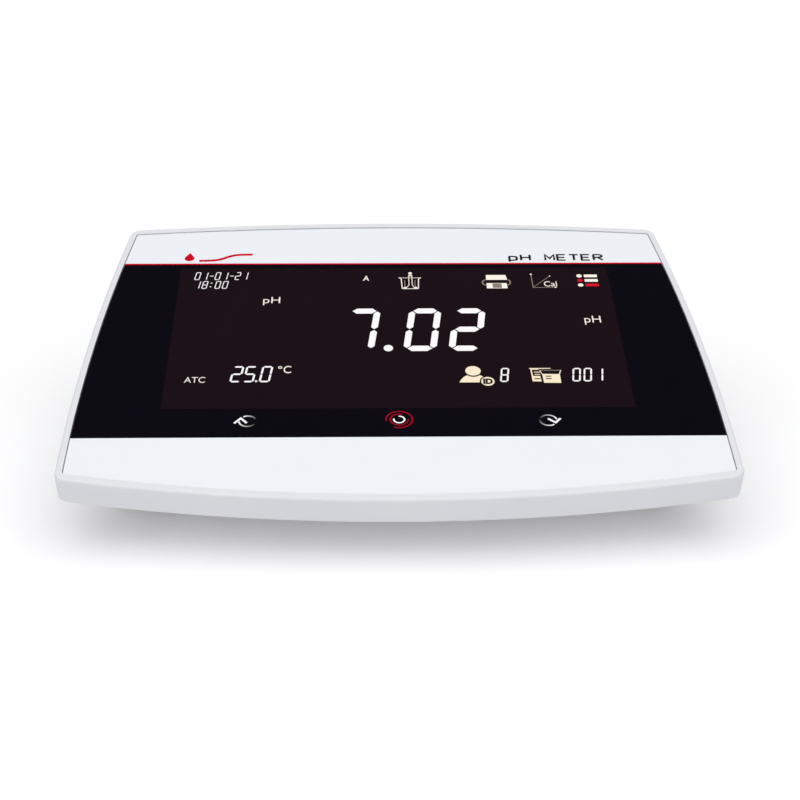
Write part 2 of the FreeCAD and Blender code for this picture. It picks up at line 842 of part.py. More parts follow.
def make_board_parts():
    chips = []
    for row in range(chip_rows):
        for column in range(chip_columns):
            chips.append(on_board(chip_x + column * chip_pitch, chip_from_rear + row * chip_pitch,
                                  chip_length, chip_width, chip_height))
    for column in range(small_part_count):
        x = processor_x + processor_size + column * small_part_pitch
        chips.append(on_board(x, processor_from_rear - 6, small_part_width, small_part_length, chip_height))
    chips.append(on_board(shield_x, shield_from_rear, amplifier_length, amplifier_width, amplifier_height))
    return group(chips)


def make_input_shield():
    """A tinned can over the high-impedance input, open underneath."""
    can = on_board(shield_x, shield_from_rear, shield_length, shield_depth, shield_height)
    inside = on_board(shield_x, shield_from_rear, shield_length - 2 * shield_wall,
                      shield_depth - 2 * shield_wall, shield_height - shield_wall)
    return can.cut(inside)


def cell_centre(height):
    return Vector(cell_x, main_board_rear - cell_from_rear, main_board_top + height)


def make_clock_cell_holder():
    outer_radius = cell_radius + cell_holder_wall + 0.2
    height = cell_holder_floor + cell_height * 0.6
    cup = rod(outer_radius, cell_centre(0), cell_centre(height))
    return cup.cut(rod(cell_radius + 0.2, cell_centre(cell_holder_floor), cell_centre(height + 1)))


def make_clock_cell():
    top = cell_centre(cell_holder_floor + cell_height)
    cell = rod(cell_radius, cell_centre(cell_holder_floor), top)
    rim = [edge for edge in cell.Edges if edge.BoundBox.ZMin > top.z - 1e-6]
    return cell.makeFillet(0.5, rim)


def make_power_capacitors():
    cans = []
    for step in (-0.5, 0.5):
        x = capacitor_x + step * capacitor_pitch
        foot = Vector(x, main_board_rear - capacitor_from_rear, main_board_top)
        cans.append(rod(capacitor_radius, foot, foot + Vector(0, 0, capacitor_height)))
    return group(cans)


def make_power_inductor():
    y = main_board_rear - inductor_from_rear
    half = inductor_size / 2
    return rounded_block(inductor_x - half, inductor_x + half, y - half, y + half,
                         main_board_top, main_board_top + inductor_height, 2.0)


def make_beeper():
    foot = Vector(beeper_x, main_board_rear - beeper_from_rear, main_board_top)
    can = rod(beeper_radius, foot, foot + Vector(0, 0, beeper_height))
    return can.cut(rod(1.0, foot + Vector(0, 0, beeper_height - 1.5), foot + Vector(0, 0, beeper_height + 1)))


# ---- ribbon from the display board to the main board ------------------------------------------------
ribbon_y = main_board_front + ribbon_from_front
lower_exit = Vector(0, ribbon_y, main_board_top + ribbon_socket_height)
upper_v = (ribbon_y + (board_bottom - ribbon_socket_height) * math.sin(slope)) / math.cos(slope) - 6.0
upper_exit = deck_point(0, upper_v, board_bottom - ribbon_socket_height)


def make_ribbon_socket_lower():
    return block(-ribbon_socket_length / 2, ribbon_socket_length / 2,
                 ribbon_y - ribbon_socket_depth / 2, ribbon_y + ribbon_socket_depth / 2,
                 main_board_top, main_board_top + ribbon_socket_height)


def make_ribbon_socket_upper():
    return on_deck(block(-ribbon_socket_length / 2, ribbon_socket_length / 2,
                         upper_v - ribbon_socket_depth / 2, upper_v + ribbon_socket_depth / 2,
                         board_bottom - ribbon_socket_height, board_bottom))


def beside_path(path, shift):
    """The edges of a path of lines and arcs, moved sideways in its own upright plane."""
    edges = []
    for edge in path.Edges:
        first, last = edge.ParameterRange
        points = []
        for at in (first, (first + last) / 2, last):
            along = edge.tangentAt(at).normalize()
            points.append(edge.valueAt(at) + Vector(0, -along.z, along.y) * shift)
        straight = isinstance(edge.Curve, Part.Line)
        edges.append(Part.LineSegment(points[0], points[2]) if straight else Part.Arc(*points))
    return [edge.toShape() for edge in edges]


def make_display_ribbon():
    """A flat cable that leaves both sockets straight and bows forwards between them."""
    deck_down = deck_placement.Rotation.multVec(Vector(0, 0, -1))
    below = upper_exit + deck_down * ribbon_lead_in
    above = lower_exit + Vector(0, 0, ribbon_lead_in)
    forward = (below + above) * 0.5 - Vector(0, ribbon_slack, 0)
    path = routed_path([upper_exit, below, forward, above, lower_exit], ribbon_bend)
    path.translate(Vector(-ribbon_width / 2, 0, 0))
    front = beside_path(path, ribbon_thickness / 2)
    back = beside_path(path, -ribbon_thickness / 2)
    ends = [Part.LineSegment(front[0].Vertexes[0].Point, back[0].Vertexes[0].Point).toShape(),
            Part.LineSegment(front[-1].Vertexes[-1].Point, back[-1].Vertexes[-1].Point).toShape()]
    outline = Part.Wire(Part.__sortEdges__(front + back + ends))
    return Part.Face(outline).extrude(Vector(ribbon_width, 0, 0))


# ---- rear panel and the sockets in it ---------------------------------------------------------------
usb_device_axis = main_board_top + usb_device_height / 2
usb_host_axis = main_board_top + usb_host_stilt + usb_host_height / 2
power_axis = main_board_top + power_axis_height
serial_axis = main_board_top + serial_axis_height
socket_face = rear_face - 0.2


def wall_cut(x, z, width, height):
    """A square cut-out in the rear panel with its clearance."""
    half_x = width / 2 + cutout_clearance
    half_z = height / 2 + cutout_clearance
    inside = rear_face - insert_thickness - 1
    return block(x - half_x, x + half_x, inside, rear_face + 1, z - half_z, z + half_z)


def wall_hole(x, z, radius):
    return rear_rod(radius + cutout_clearance, x, z, rear_face - insert_thickness - 1, rear_face + 1)


def make_rear_panel():
    panel = rear_insert_block(0.0, rear_face - insert_thickness, rear_face)
    power_middle = main_board_top + power_height / 2
    cuts = [wall_cut(power_x, power_middle, power_width, power_height),
            wall_cut(usb_device_x, usb_device_axis, usb_device_width, usb_device_height),
            wall_cut(usb_host_x, usb_host_axis, usb_host_width, usb_host_height),
            wall_cut(serial_x, serial_axis, jackscrew_spacing - 2 * jackscrew_flats, serial_shell_height),
            wall_hole(reference_x, socket_row, reference_body_radius),
            wall_hole(temperature_x, socket_row, rca_thread_radius),
            wall_hole(electrode_x, socket_row, bnc_thread_radius)]
    for side in (-0.5, 0.5):
        cuts.append(wall_hole(serial_x + side * jackscrew_spacing, serial_axis, jackscrew_stud_radius))
        rivet_x = flap_middle + side * (flap_width - 2 * strap_rivet_inset)
        cuts.append(wall_hole(rivet_x, strap_bottom + strap_height / 2, strap_rivet_radius))
    for cut in cuts:
        panel = panel.cut(cut)
    return panel


def make_power_jack_body():
    body = block(power_x - power_width / 2, power_x + power_width / 2, socket_face - power_depth, socket_face,
                 main_board_top, main_board_top + power_height)
    floor = socket_face - power_bore_depth
    bore = rear_rod(power_bore_radius, power_x, power_axis, floor, socket_face + 1)
    seat = rear_rod(power_pin_root_radius, power_x, power_axis, floor - power_pin_root_length, floor)
    return body.cut(bore).cut(seat)


def make_power_jack_pin():
    """Centre pin with a thicker root held in the body's floor."""
    floor = socket_face - power_bore_depth
    end = socket_face - power_pin_setback
    pin = rear_rod(power_pin_radius, power_x, power_axis, floor, end)
    tip = [edge for edge in pin.Edges if edge.BoundBox.YMin > end - 1e-6]
    pin = pin.makeChamfer(0.3, tip)
    root = rear_rod(power_pin_root_radius, power_x, power_axis, floor - power_pin_root_length, floor)
    return joined([pin, root])


def make_usb_device_shell():
    half = usb_device_width / 2
    back = socket_face - usb_device_depth
    shell = rounded_block(usb_device_x - half, usb_device_x + half, back, socket_face,
                          main_board_top, main_board_top + usb_device_height, 0.8, Vector(0, 1, 0))
    half_x = usb_device_bore_width / 2
    half_z = usb_device_bore_height / 2
    bore = block(usb_device_x - half_x, usb_device_x + half_x, back + 1.5, socket_face + 1,
                 usb_device_axis - half_z, usb_device_axis + half_z)
    slanted = [edge for edge in bore.Edges
               if edge.BoundBox.ZMin > usb_device_axis and edge.BoundBox.YLength > 2]
    return shell.cut(bore.makeChamfer(1.8, slanted))


def make_usb_device_tongue():
    half_x = usb_device_tongue_width / 2
    half_z = usb_device_tongue_height / 2
    back = socket_face - usb_device_depth + 1.5
    return block(usb_device_x - half_x, usb_device_x + half_x, back, back + usb_tongue_length + 3.0,
                 usb_device_axis - half_z, usb_device_axis + half_z)


def make_usb_host_shell():
    half_x = usb_host_width / 2
    half_z = usb_host_height / 2
    back = socket_face - usb_host_depth
    shell = rounded_block(usb_host_x - half_x, usb_host_x + half_x, back, socket_face,
                          usb_host_axis - half_z, usb_host_axis + half_z, 0.6, Vector(0, 1, 0))
    half_x = half_x - usb_host_wall
    half_z = half_z - usb_host_wall
    bore = block(usb_host_x - half_x, usb_host_x + half_x, back + 1.2, socket_face + 1,
                 usb_host_axis - half_z, usb_host_axis + half_z)
    legs = []
    for side in (-1, 1):
        x = usb_host_x + side * (usb_host_width / 2 - usb_host_wall / 2)
        legs.append(block(x - usb_host_wall / 2, x + usb_host_wall / 2, socket_face - 10, socket_face - 7,
                          main_board_top, usb_host_axis))
    return joined([shell.cut(bore)] + legs)


def make_usb_host_tongue():
    half_x = usb_host_width / 2 - usb_host_wall - 0.6
    top = usb_host_axis + usb_host_height / 2 - usb_host_wall - 0.5
    back = socket_face - usb_host_depth + 1.2
    return block(usb_host_x - half_x, usb_host_x + half_x, back, socket_face - usb_tongue_setback,
                 top - usb_host_tongue_height, top)


def d_wire(grow, y):
    """The D outline of the serial plug, wider along its upper row."""
    half_top = serial_shell_width / 2 + grow
    half_height = serial_shell_height / 2 + grow
    lean = math.tan(math.radians(serial_shell_slant)) * 2 * half_height
    corners = [Vector(serial_x - half_top, y, serial_axis + half_height),
               Vector(serial_x + half_top, y, serial_axis + half_height),
               Vector(serial_x + half_top - lean, y, serial_axis - half_height),
               Vector(serial_x - half_top + lean, y, serial_axis - half_height)]
    return Part.makePolygon(corners + corners[:1])


def d_rod(grow, y_low, y_high, radius):
    solid = Part.Face(d_wire(grow, y_low)).extrude(Vector(0, y_high - y_low, 0))
    long_edges = [edge for edge in solid.Edges if edge.BoundBox.YLength > (y_high - y_low) * 0.9]
    return solid.makeFillet(radius, long_edges)


def make_serial_shell():
    """Pressed steel flange and D-shaped rim."""
    half_x = serial_width / 2
    half_z = serial_flange_height / 2
    front = rear_face + serial_flange_thickness
    flange = rounded_block(serial_x - half_x, serial_x + half_x, rear_face, front,
                           serial_axis - half_z, serial_axis + half_z, 1.5, Vector(0, 1, 0))
    rim = d_rod(0.0, rear_face, front + serial_shell_length, 2.2)
    inside = d_rod(-serial_shell_wall, rear_face - 1, front + serial_shell_length + 1, 1.7)
    shell = flange.fuse(rim).cut(inside)
    for side in (-0.5, 0.5):
        x = serial_x + side * jackscrew_spacing
        shell = shell.cut(rear_rod(jackscrew_stud_radius + 0.1, x, serial_axis, rear_face - 1, front + 1))
    return shell.removeSplitter()


def make_serial_insert():
    """Moulded body that carries the pins, inside the rim and down to the board."""
    face = rear_face + serial_flange_thickness
    plug = d_rod(-serial_shell_wall, rear_face - insert_thickness, face, 1.7)
    half_x = jackscrew_spacing / 2 - jackscrew_stud_radius - 2.0
    half_z = serial_body_height / 2
    body = block(serial_x - half_x, serial_x + half_x, rear_face - serial_body_depth,
                 rear_face - insert_thickness, main_board_top, serial_axis + half_z)
    insert = plug.fuse(body)
    for x, z in serial_pin_places():
        insert = insert.cut(rear_rod(serial_pin_radius, x, z, rear_face - 4.0, face + 1))
    return insert.removeSplitter()


def serial_pin_places():
    places = []
    for row, count in ((0.5, 5), (-0.5, 4)):
        for step in range(count):
            x = serial_x + (step - (count - 1) / 2) * serial_pin_pitch
            places.append((x, serial_axis + row * serial_row_pitch))
    return places


def make_serial_pins():
    tip = rear_face + serial_flange_thickness + serial_pin_length
    return group([rear_rod(serial_pin_radius, x, z, rear_face - 4.0, tip) for x, z in serial_pin_places()])


def make_serial_jackscrews():
    screws = []
    seat = rear_face + serial_flange_thickness
    for side in (-0.5, 0.5):
        x = serial_x + side * jackscrew_spacing
        head = hexagon_rod(jackscrew_flats, x, serial_axis, seat, seat + jackscrew_length)
        stud = rear_rod(jackscrew_stud_radius, x, serial_axis, seat - jackscrew_stud_length, seat)
        screw = joined([head, stud])
        bore = rear_rod(jackscrew_bore_radius, x, serial_axis, seat + 0.5, seat + jackscrew_length + 1)
        screws.append(screw.cut(bore))
    return group(screws)


def ring_nut(flats, thickness, bore, x):
    """A hexagon nut drawn up against the inside of the rear panel."""
    seat = rear_face - insert_thickness
    nut = hexagon_rod(flats, x, socket_row, seat - thickness, seat)
    return nut.cut(rear_rod(bore, x, socket_row, seat - thickness - 1, seat + 1))


# ---- electrode socket and its shorting cap ------------------------------------------------------------
bnc_seat = rear_face + bnc_flange_thickness
bnc_mouth = bnc_seat + bnc_barrel_length
lug_y = bnc_seat + bnc_lug_place


def electrode_rod(radius, y_low, y_high):
    return rear_rod(radius, electrode_x, socket_row, y_low, y_high)


def make_bnc_shell():
    barrel = electrode_rod(bnc_barrel_radius, bnc_seat, bnc_mouth)
    flange = electrode_rod(bnc_barrel_radius + bnc_flange_rim, rear_face, bnc_seat)
    thread = electrode_rod(bnc_thread_radius, rear_face - bnc_thread_length, rear_face)
    reach = bnc_barrel_radius + bnc_lug_reach
    lugs = rod(bnc_lug_radius, Vector(electrode_x - reach, lug_y, socket_row),
               Vector(electrode_x + reach, lug_y, socket_row))
    shell = joined([barrel, flange, thread, lugs])
    shell = shell.cut(electrode_rod(bnc_bore_radius, bnc_mouth - bnc_bore_depth, bnc_mouth + 1))
    return shell.cut(electrode_rod(bnc_insulator_radius, rear_face - bnc_thread_length - 1, bnc_mouth))


def make_bnc_insulator():
    back = rear_face - bnc_thread_length
    tube = electrode_rod(bnc_insulator_radius, back, bnc_mouth - bnc_insulator_setback)
    return tube.cut(electrode_rod(bnc_contact_radius, back - 1, bnc_mouth))


def make_bnc_contact():
    tip = bnc_mouth - bnc_contact_setback
    contact = electrode_rod(bnc_contact_radius, rear_face - bnc_thread_length - bnc_contact_tail, tip)
    return contact.cut(electrode_rod(bnc_contact_bore, tip - bnc_contact_depth, tip + 1))


def make_bnc_nut():
    return ring_nut(bnc_nut_flats, bnc_nut_thickness, bnc_thread_radius, electrode_x)


cap_ring_mouth = bnc_seat + cap_ring_start
cap_ring_end = cap_ring_mouth + cap_ring_length
cap_flange_low = cap_ring_end - cap_back_wall - cap_clearance - cap_flange_thickness
cap_flange_high = cap_flange_low + cap_flange_thickness
cap_end_low = cap_ring_end + cap_clearance
cap_ring_bore = bnc_barrel_radius + cap_clearance
cap_groove_radius = math.hypot(bnc_barrel_radius + bnc_lug_reach, bnc_lug_radius) + cap_clearance
cap_ring_radius = cap_groove_radius + cap_ring_wall


def make_short_cap_core():
    """Inner body of the cap, with the tube and pin that bridge the socket."""
    flange = electrode_rod(cap_ring_bore - cap_clearance, cap_flange_low, cap_flange_high)
    neck = electrode_rod(cap_neck_radius, cap_flange_high, cap_end_low)
    end = electrode_rod(cap_end_radius, cap_end_low, cap_end_low + cap_end_thickness)
    rim = [edge for edge in end.Edges if edge.BoundBox.YMin > cap_end_low + cap_end_thickness - 1e-6]
    end = end.makeFillet(0.8, rim)
    tube_radius = bnc_bore_radius - cap_clearance
    tube = electrode_rod(tube_radius, cap_flange_low - cap_tube_length, cap_flange_low)
    hollow = electrode_rod(tube_radius - cap_tube_wall, cap_flange_low - cap_tube_length - 1, cap_flange_low)
    pin = electrode_rod(cap_pin_radius, cap_flange_low - cap_pin_length, cap_flange_low)
    return joined([flange, neck, end, tube.cut(hollow), pin])


def make_short_cap_ring():
    """Grip ring with two bayonet grooves that start in line with the socket's lugs."""
    ring = electrode_rod(cap_ring_radius, cap_ring_mouth, cap_ring_end)
    ring = ring.cut(electrode_rod(cap_ring_bore, cap_ring_mouth - 1, cap_ring_end - cap_back_wall))
    ring = ring.cut(electrode_rod(cap_neck_radius + cap_clearance, cap_ring_mouth, cap_ring_end + 1))
    half_slot = bnc_lug_radius + cap_clearance
    entry = block(electrode_x - cap_groove_radius, electrode_x + cap_groove_radius, cap_ring_mouth - 1,
                  lug_y + half_slot, socket_row - half_slot, socket_row + half_slot)
    ring = ring.cut(entry.common(electrode_rod(cap_groove_radius, cap_ring_mouth - 1, lug_y + half_slot)))
    axis_point = Vector(electrode_x, 0, socket_row)
    overrun = math.degrees(half_slot / cap_groove_radius)
    for start in (0.0, 180.0):
        profile = Part.makePolygon([Vector(electrode_x + cap_ring_bore - 0.5, lug_y - half_slot, socket_row),
                                    Vector(electrode_x + cap_groove_radius, lug_y - half_slot, socket_row),
                                    Vector(electrode_x + cap_groove_radius, lug_y + half_slot, socket_row),
                                    Vector(electrode_x + cap_ring_bore - 0.5, lug_y + half_slot, socket_row),
                                    Vector(electrode_x + cap_ring_bore - 0.5, lug_y - half_slot, socket_row)])
        groove = Part.Face(profile).revolve(axis_point, Vector(0, 1, 0), cap_turn + 2 * overrun)
        groove.rotate(axis_point, Vector(0, 1, 0), start - overrun)
        ring = ring.cut(groove)
    for step in range(cap_grip_ribs):
        turn = math.radians(360.0 * (step + 0.5) / cap_grip_ribs)
        x = electrode_x + (cap_ring_radius + cap_grip_depth) * math.cos(turn)
        z = socket_row + (cap_ring_radius + cap_grip_depth) * math.sin(turn)
        ring = ring.cut(rear_rod(2 * cap_grip_depth, x, z, cap_ring_mouth + 2.0, cap_ring_end - 1.0))
    return ring


def make_bnc_coax_lead():
    """Screened lead from the back of the electrode socket down into the input screen."""
    start_y = rear_face - bnc_thread_length - bnc_contact_tail
    turn_y = main_board_rear - shield_from_rear
    shield_top = main_board_top + shield_height
    points = [Vector(electrode_x, start_y, socket_row), Vector(electrode_x, turn_y, socket_row),
              Vector(electrode_x, turn_y, shield_top)]
    bend = min(coax_bend, (socket_row - shield_top) * 0.8)
    return round_lead(points, coax_radius, bend)


# ---- temperature and reference sockets ------------------------------------------------------------------
rca_seat = rear_face + rca_flange_thickness
rca_mouth = rca_seat + rca_barrel_length
rca_back = rear_face - rca_thread_length


def temperature_rod(radius, y_low, y_high):
    return rear_rod(radius, temperature_x, socket_row, y_low, y_high)


def make_temperature_shell():
    barrel = temperature_rod(rca_barrel_radius, rca_seat, rca_mouth)
    flange = temperature_rod(rca_flange_radius, rear_face, rca_seat)
    thread = temperature_rod(rca_thread_radius, rca_back, rear_face)
    bore = temperature_rod(rca_barrel_radius - rca_barrel_wall, rca_back - 1, rca_mouth + 1)
    return joined([barrel, flange, thread]).cut(bore)


def make_temperature_insulator():
    outer = temperature_rod(rca_barrel_radius - rca_barrel_wall, rca_back, rca_mouth)
    return outer.cut(temperature_rod(rca_contact_bore + rca_contact_wall, rca_back - 1, rca_mouth + 1))


def make_temperature_contact():
    outer = temperature_rod(rca_contact_bore + rca_contact_wall, rca_back - rca_tail, rca_mouth)
    return outer.cut(temperature_rod(rca_contact_bore, rca_mouth - rca_contact_depth, rca_mouth + 1))


def make_temperature_nut():
    return ring_nut(rca_nut_flats, rca_nut_thickness, rca_thread_radius, temperature_x)


reference_mouth = rear_face + reference_flange_thickness
reference_back = rear_face - reference_thread_length


def reference_rod(radius, y_low, y_high):
    return rear_rod(radius, reference_x, socket_row, y_low, y_high)


def make_reference_body():
    flange = reference_rod(reference_flange_radius, rear_face, reference_mouth)
    rim = [edge for edge in flange.Edges if edge.BoundBox.YMin > reference_mouth - 1e-6]
    flange = flange.makeFillet(0.6, rim)
    body = joined([flange, reference_rod(reference_body_radius, reference_back, rear_face)])
    sleeve_radius = reference_bore_radius + reference_sleeve_wall
    return body.cut(reference_rod(sleeve_radius, reference_back - 1, reference_mouth + 1))


def make_reference_sleeve():
    sleeve_radius = reference_bore_radius + reference_sleeve_wall
    sleeve = reference_rod(sleeve_radius, reference_back - reference_tail, reference_mouth - 0.4)
    mouth = reference_mouth - 0.4
    return sleeve.cut(reference_rod(reference_bore_radius, mouth - reference_bore_depth, mouth + 1))


def make_reference_nut():
    return ring_nut(reference_nut_flats, reference_nut_thickness, reference_body_radius, reference_x)


def make_sensor_leads():
    """Two insulated wires from the temperature and reference sockets down to the board."""
    leads = []
    starts = ((temperature_x, rca_back - rca_tail),
              (reference_x, reference_back - reference_tail))
    for x, start_y in starts:
        corner_y = start_y - sensor_wire_bend - 1.5
        points = [Vector(x, start_y, socket_row), Vector(x, corner_y, socket_row),
                  Vector(x, corner_y, main_board_top)]
        leads.append(round_lead(points, sensor_wire_radius, sensor_wire_bend))
    return group(leads)


# ---- flap over the USB sockets ----------------------------------------------------------------------------
flap_left = usb_host_x - usb_host_width / 2 - flap_margin
flap_right = usb_device_x + usb_device_width / 2 + flap_margin - 1.0
flap_width = flap_right - flap_left
flap_middle = (flap_left + flap_right) / 2
flap_hinge_z = main_board_top + usb_device_height + flap_hinge_above
flap_hinge_y = rear_face + flap_standoff + flap_thickness / 2
strap_bottom = flap_hinge_z + flap_thickness / 2 + strap_gap


def make_port_cover():
    """Rubber flap that hangs from its hinge line, with a pull tab."""
    low = main_board_top - flap_below
    front = rear_face + flap_standoff
    sheet = block(flap_left, flap_right, front, front + flap_thickness, low, flap_hinge_z)
    corners = [edge for edge in sheet.Edges
               if edge.BoundBox.YLength > flap_thickness * 0.9 and edge.BoundBox.ZMax < low + 1e-6]
    sheet = sheet.makeFillet(3.0, corners)
    roll = rod(flap_thickness / 2, Vector(flap_left, flap_hinge_y, flap_hinge_z),
               Vector(flap_right, flap_hinge_y, flap_hinge_z))
    tab = block(flap_middle - flap_tab_width / 2, flap_middle + flap_tab_width / 2,
                front + flap_thickness / 2, front + flap_thickness, low - flap_tab_height, low + 1)
    return joined([sheet, roll, tab])


def make_port_cover_strap():
    """Fixed edge of the flap, pressed into two holes of the rear panel."""
    front = rear_face
    strap = rounded_block(flap_left, flap_right, front, front + flap_thickness + flap_standoff,
                          strap_bottom, strap_bottom + strap_height, strap_corner, Vector(0, 1, 0))
    studs = []
    for side in (-0.5, 0.5):
        x = flap_middle + side * (flap_width - 2 * strap_rivet_inset)
        z = strap_bottom + strap_height / 2
        studs.append(rear_rod(strap_rivet_radius, x, z, rear_face - insert_thickness - 0.4, rear_face))
        studs.append(rear_rod(strap_rivet_radius + 0.8, x, z, rear_face - insert_thickness - 1.4,
                              rear_face - insert_thickness - 0.2))
    return joined([strap] + studs)


# ---- all pieces, moved so that the origin is under the middle of the whole meter --------------------------
makers = {
    "top_cover": make_top_cover,
    "panel_tape": make_panel_tape,
    "front_panel": make_front_panel,
    "lcd_glass": make_lcd_glass,
    "lcd_frame": make_lcd_frame,
    "lcd_backlight": make_lcd_backlight,
    "backlight_leds": make_backlight_leds,
    "display_board": make_display_board,
    "display_drivers": make_display_drivers,
    "touch_springs": make_touch_springs,
    "display_board_screws": make_display_board_screws,
    "ribbon_socket_upper": make_ribbon_socket_upper,
    "ribbon_socket_lower": make_ribbon_socket_lower,
    "display_ribbon": make_display_ribbon,
    "case_seal": make_case_seal,
    "bottom_case": make_bottom_case,
    "case_screws": make_case_screws,
    "rating_plate": make_rating_plate,
    "rear_panel": make_rear_panel,
    "main_board": make_main_board,
    "main_board_screws": make_main_board_screws,
    "main_processor": make_main_processor,
    "board_parts": make_board_parts,
    "input_shield": make_input_shield,
    "clock_cell": make_clock_cell,
    "clock_cell_holder": make_clock_cell_holder,
    "power_capacitors": make_power_capacitors,
    "power_inductor": make_power_inductor,
    "beeper": make_beeper,
    "bnc_shell": make_bnc_shell,
    "bnc_insulator": make_bnc_insulator,
    "bnc_contact": make_bnc_contact,
    "bnc_nut": make_bnc_nut,
    "bnc_coax_lead": make_bnc_coax_lead,
    "short_cap_core": make_short_cap_core,
    "short_cap_ring": make_short_cap_ring,
    "temperature_shell": make_temperature_shell,
    "temperature_insulator": make_temperature_insulator,
    "temperature_contact": make_temperature_contact,
    "temperature_nut": make_temperature_nut,
    "reference_body": make_reference_body,
    "reference_sleeve": make_reference_sleeve,
    "reference_nut": make_reference_nut,
    "sensor_leads": make_sensor_leads,
    "power_jack_body": make_power_jack_body,
    "power_jack_pin": make_power_jack_pin,
    "usb_device_shell": make_usb_device_shell,
    "usb_device_tongue": make_usb_device_tongue,
    "usb_host_shell": make_usb_host_shell,
    "usb_host_tongue": make_usb_host_tongue,
    "serial_shell": make_serial_shell,
    "serial_insert": make_serial_insert,
    "serial_pins": make_serial_pins,
    "serial_jackscrews": make_serial_jackscrews,
    "port_cover": make_port_cover,
    "port_cover_strap": make_port_cover_strap,
}

foot_names = ("foot_front_left", "foot_rear_left", "foot_front_right", "foot_rear_right")

pieces = {name: make() for name, make in makers.items()}
for name, (x, y) in zip(foot_names, foot_places()):
    pieces[name] = make_foot(x, y)

whole = Part.makeCompound(list(pieces.values())).optimalBoundingBox(False, False)
shift_y = -(whole.YMin + whole.YMax) / 2

os.makedirs("parts", exist_ok=True)
for name, piece in pieces.items():
    piece.translate(Vector(0, shift_y, 0))
    piece.exportStep("parts/" + name + ".step")
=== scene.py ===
import json
import math

import bmesh
import bpy
from mathutils import Euler, Matrix, Vector


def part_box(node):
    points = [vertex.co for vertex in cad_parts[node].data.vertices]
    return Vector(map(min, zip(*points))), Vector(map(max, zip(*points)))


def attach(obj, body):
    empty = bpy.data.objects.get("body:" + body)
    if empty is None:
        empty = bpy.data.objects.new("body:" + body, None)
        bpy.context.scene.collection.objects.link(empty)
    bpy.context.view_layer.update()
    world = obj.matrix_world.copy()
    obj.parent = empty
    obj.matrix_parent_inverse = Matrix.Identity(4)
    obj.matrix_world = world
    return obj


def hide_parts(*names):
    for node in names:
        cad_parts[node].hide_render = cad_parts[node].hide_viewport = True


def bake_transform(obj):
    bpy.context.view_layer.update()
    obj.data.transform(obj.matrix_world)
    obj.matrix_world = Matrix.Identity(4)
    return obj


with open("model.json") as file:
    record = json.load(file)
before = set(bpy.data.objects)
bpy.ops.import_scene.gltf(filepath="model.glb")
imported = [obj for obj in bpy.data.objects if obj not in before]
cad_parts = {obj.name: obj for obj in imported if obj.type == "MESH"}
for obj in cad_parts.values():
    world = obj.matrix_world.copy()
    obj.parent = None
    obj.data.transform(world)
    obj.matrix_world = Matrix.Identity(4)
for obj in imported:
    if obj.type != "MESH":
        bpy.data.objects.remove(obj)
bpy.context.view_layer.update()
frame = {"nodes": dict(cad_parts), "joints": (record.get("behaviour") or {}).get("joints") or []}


# ---- Top cover ---------------------------------------------------------------------------------------
# The white frame round the deck, with its raised lip and the skirt that hangs down all round.
# It is injection moulded in ABS from a spark-eroded tool, so its skin is satin with a very fine grain,
# and six screws from below pull it on to the base.
MM = 0.001
MIX_FROM, MIX_TO, MIX_RESULT = 6, 7, 2        # the colour sockets of a mix node


def colour(code):
    """The linear colour of an sRGB hex value."""
    parts = [int(code[i:i + 2], 16) / 255 for i in (1, 3, 5)]
    return (*[p / 12.92 if p <= 0.04045 else ((p + 0.055) / 1.055) ** 2.4 for p in parts], 1.0)


def add_node(tree, kind, inputs=(), **settings):
    """A new node with its own settings; an input is a value or another node's output."""
    node = tree.nodes.new(kind)
    for name, value in settings.items():
        setattr(node, name, value)
    for name, value in dict(inputs).items():
        if isinstance(value, bpy.types.NodeSocket):
            tree.links.new(value, node.inputs[name])
        else:
            node.inputs[name].default_value = value
    return node


def new_finish(name, **sockets):
    """A material with one surface shader; sockets are the shader's own, such as base_color or ior."""
    material = bpy.data.materials.new(name)
    material.use_nodes = True
    tree = material.node_tree
    tree.nodes.clear()
    values = {key.replace("_", " ").title().replace("Ior", "IOR"): value for key, value in sockets.items()}
    shader = add_node(tree, "ShaderNodeBsdfPrincipled", values)
    add_node(tree, "ShaderNodeOutputMaterial", {"Surface": shader.outputs["BSDF"]})
    place = add_node(tree, "ShaderNodeTexCoord").outputs["Object"]
    return material, tree, shader, place


def grain(tree, shader, place, codes, size, rough, depth):
    """Skin of a moulded or plated part: two close colours, a range of roughness and a fine relief."""
    patch = 60 * size        # the colour drifts over patches of this size
    noise = add_node(tree, "ShaderNodeTexNoise", {"Vector": place, "Scale": 1 / size, "Detail": 3.0})
    cloud = add_node(tree, "ShaderNodeTexNoise", {"Vector": place, "Scale": 1 / patch, "Detail": 2.0})
    tone = add_node(tree, "ShaderNodeMix", {"Factor": cloud.outputs["Fac"]}, data_type="RGBA")
    tone.inputs[MIX_FROM].default_value = colour(codes[0])
    tone.inputs[MIX_TO].default_value = colour(codes[1])
    tree.links.new(tone.outputs[MIX_RESULT], shader.inputs["Base Color"])
    satin = add_node(tree, "ShaderNodeMapRange", {"Value": noise.outputs["Fac"], "From Min": 0.3,
                                                  "From Max": 0.7, "To Min": rough[0], "To Max": rough[1]})
    tree.links.new(satin.outputs["Result"], shader.inputs["Roughness"])
    relief = add_node(tree, "ShaderNodeBump", {"Height": noise.outputs["Fac"], "Strength": 0.35,
                                               "Distance": depth})
    tree.links.new(relief.outputs["Normal"], shader.inputs["Normal"])


def paint(material, *names):
    """Gives CAD nodes their finish, in place of any material they brought."""
    for name in names:
        mesh = frame["nodes"][name].data
        mesh.materials.clear()
        mesh.materials.append(material)


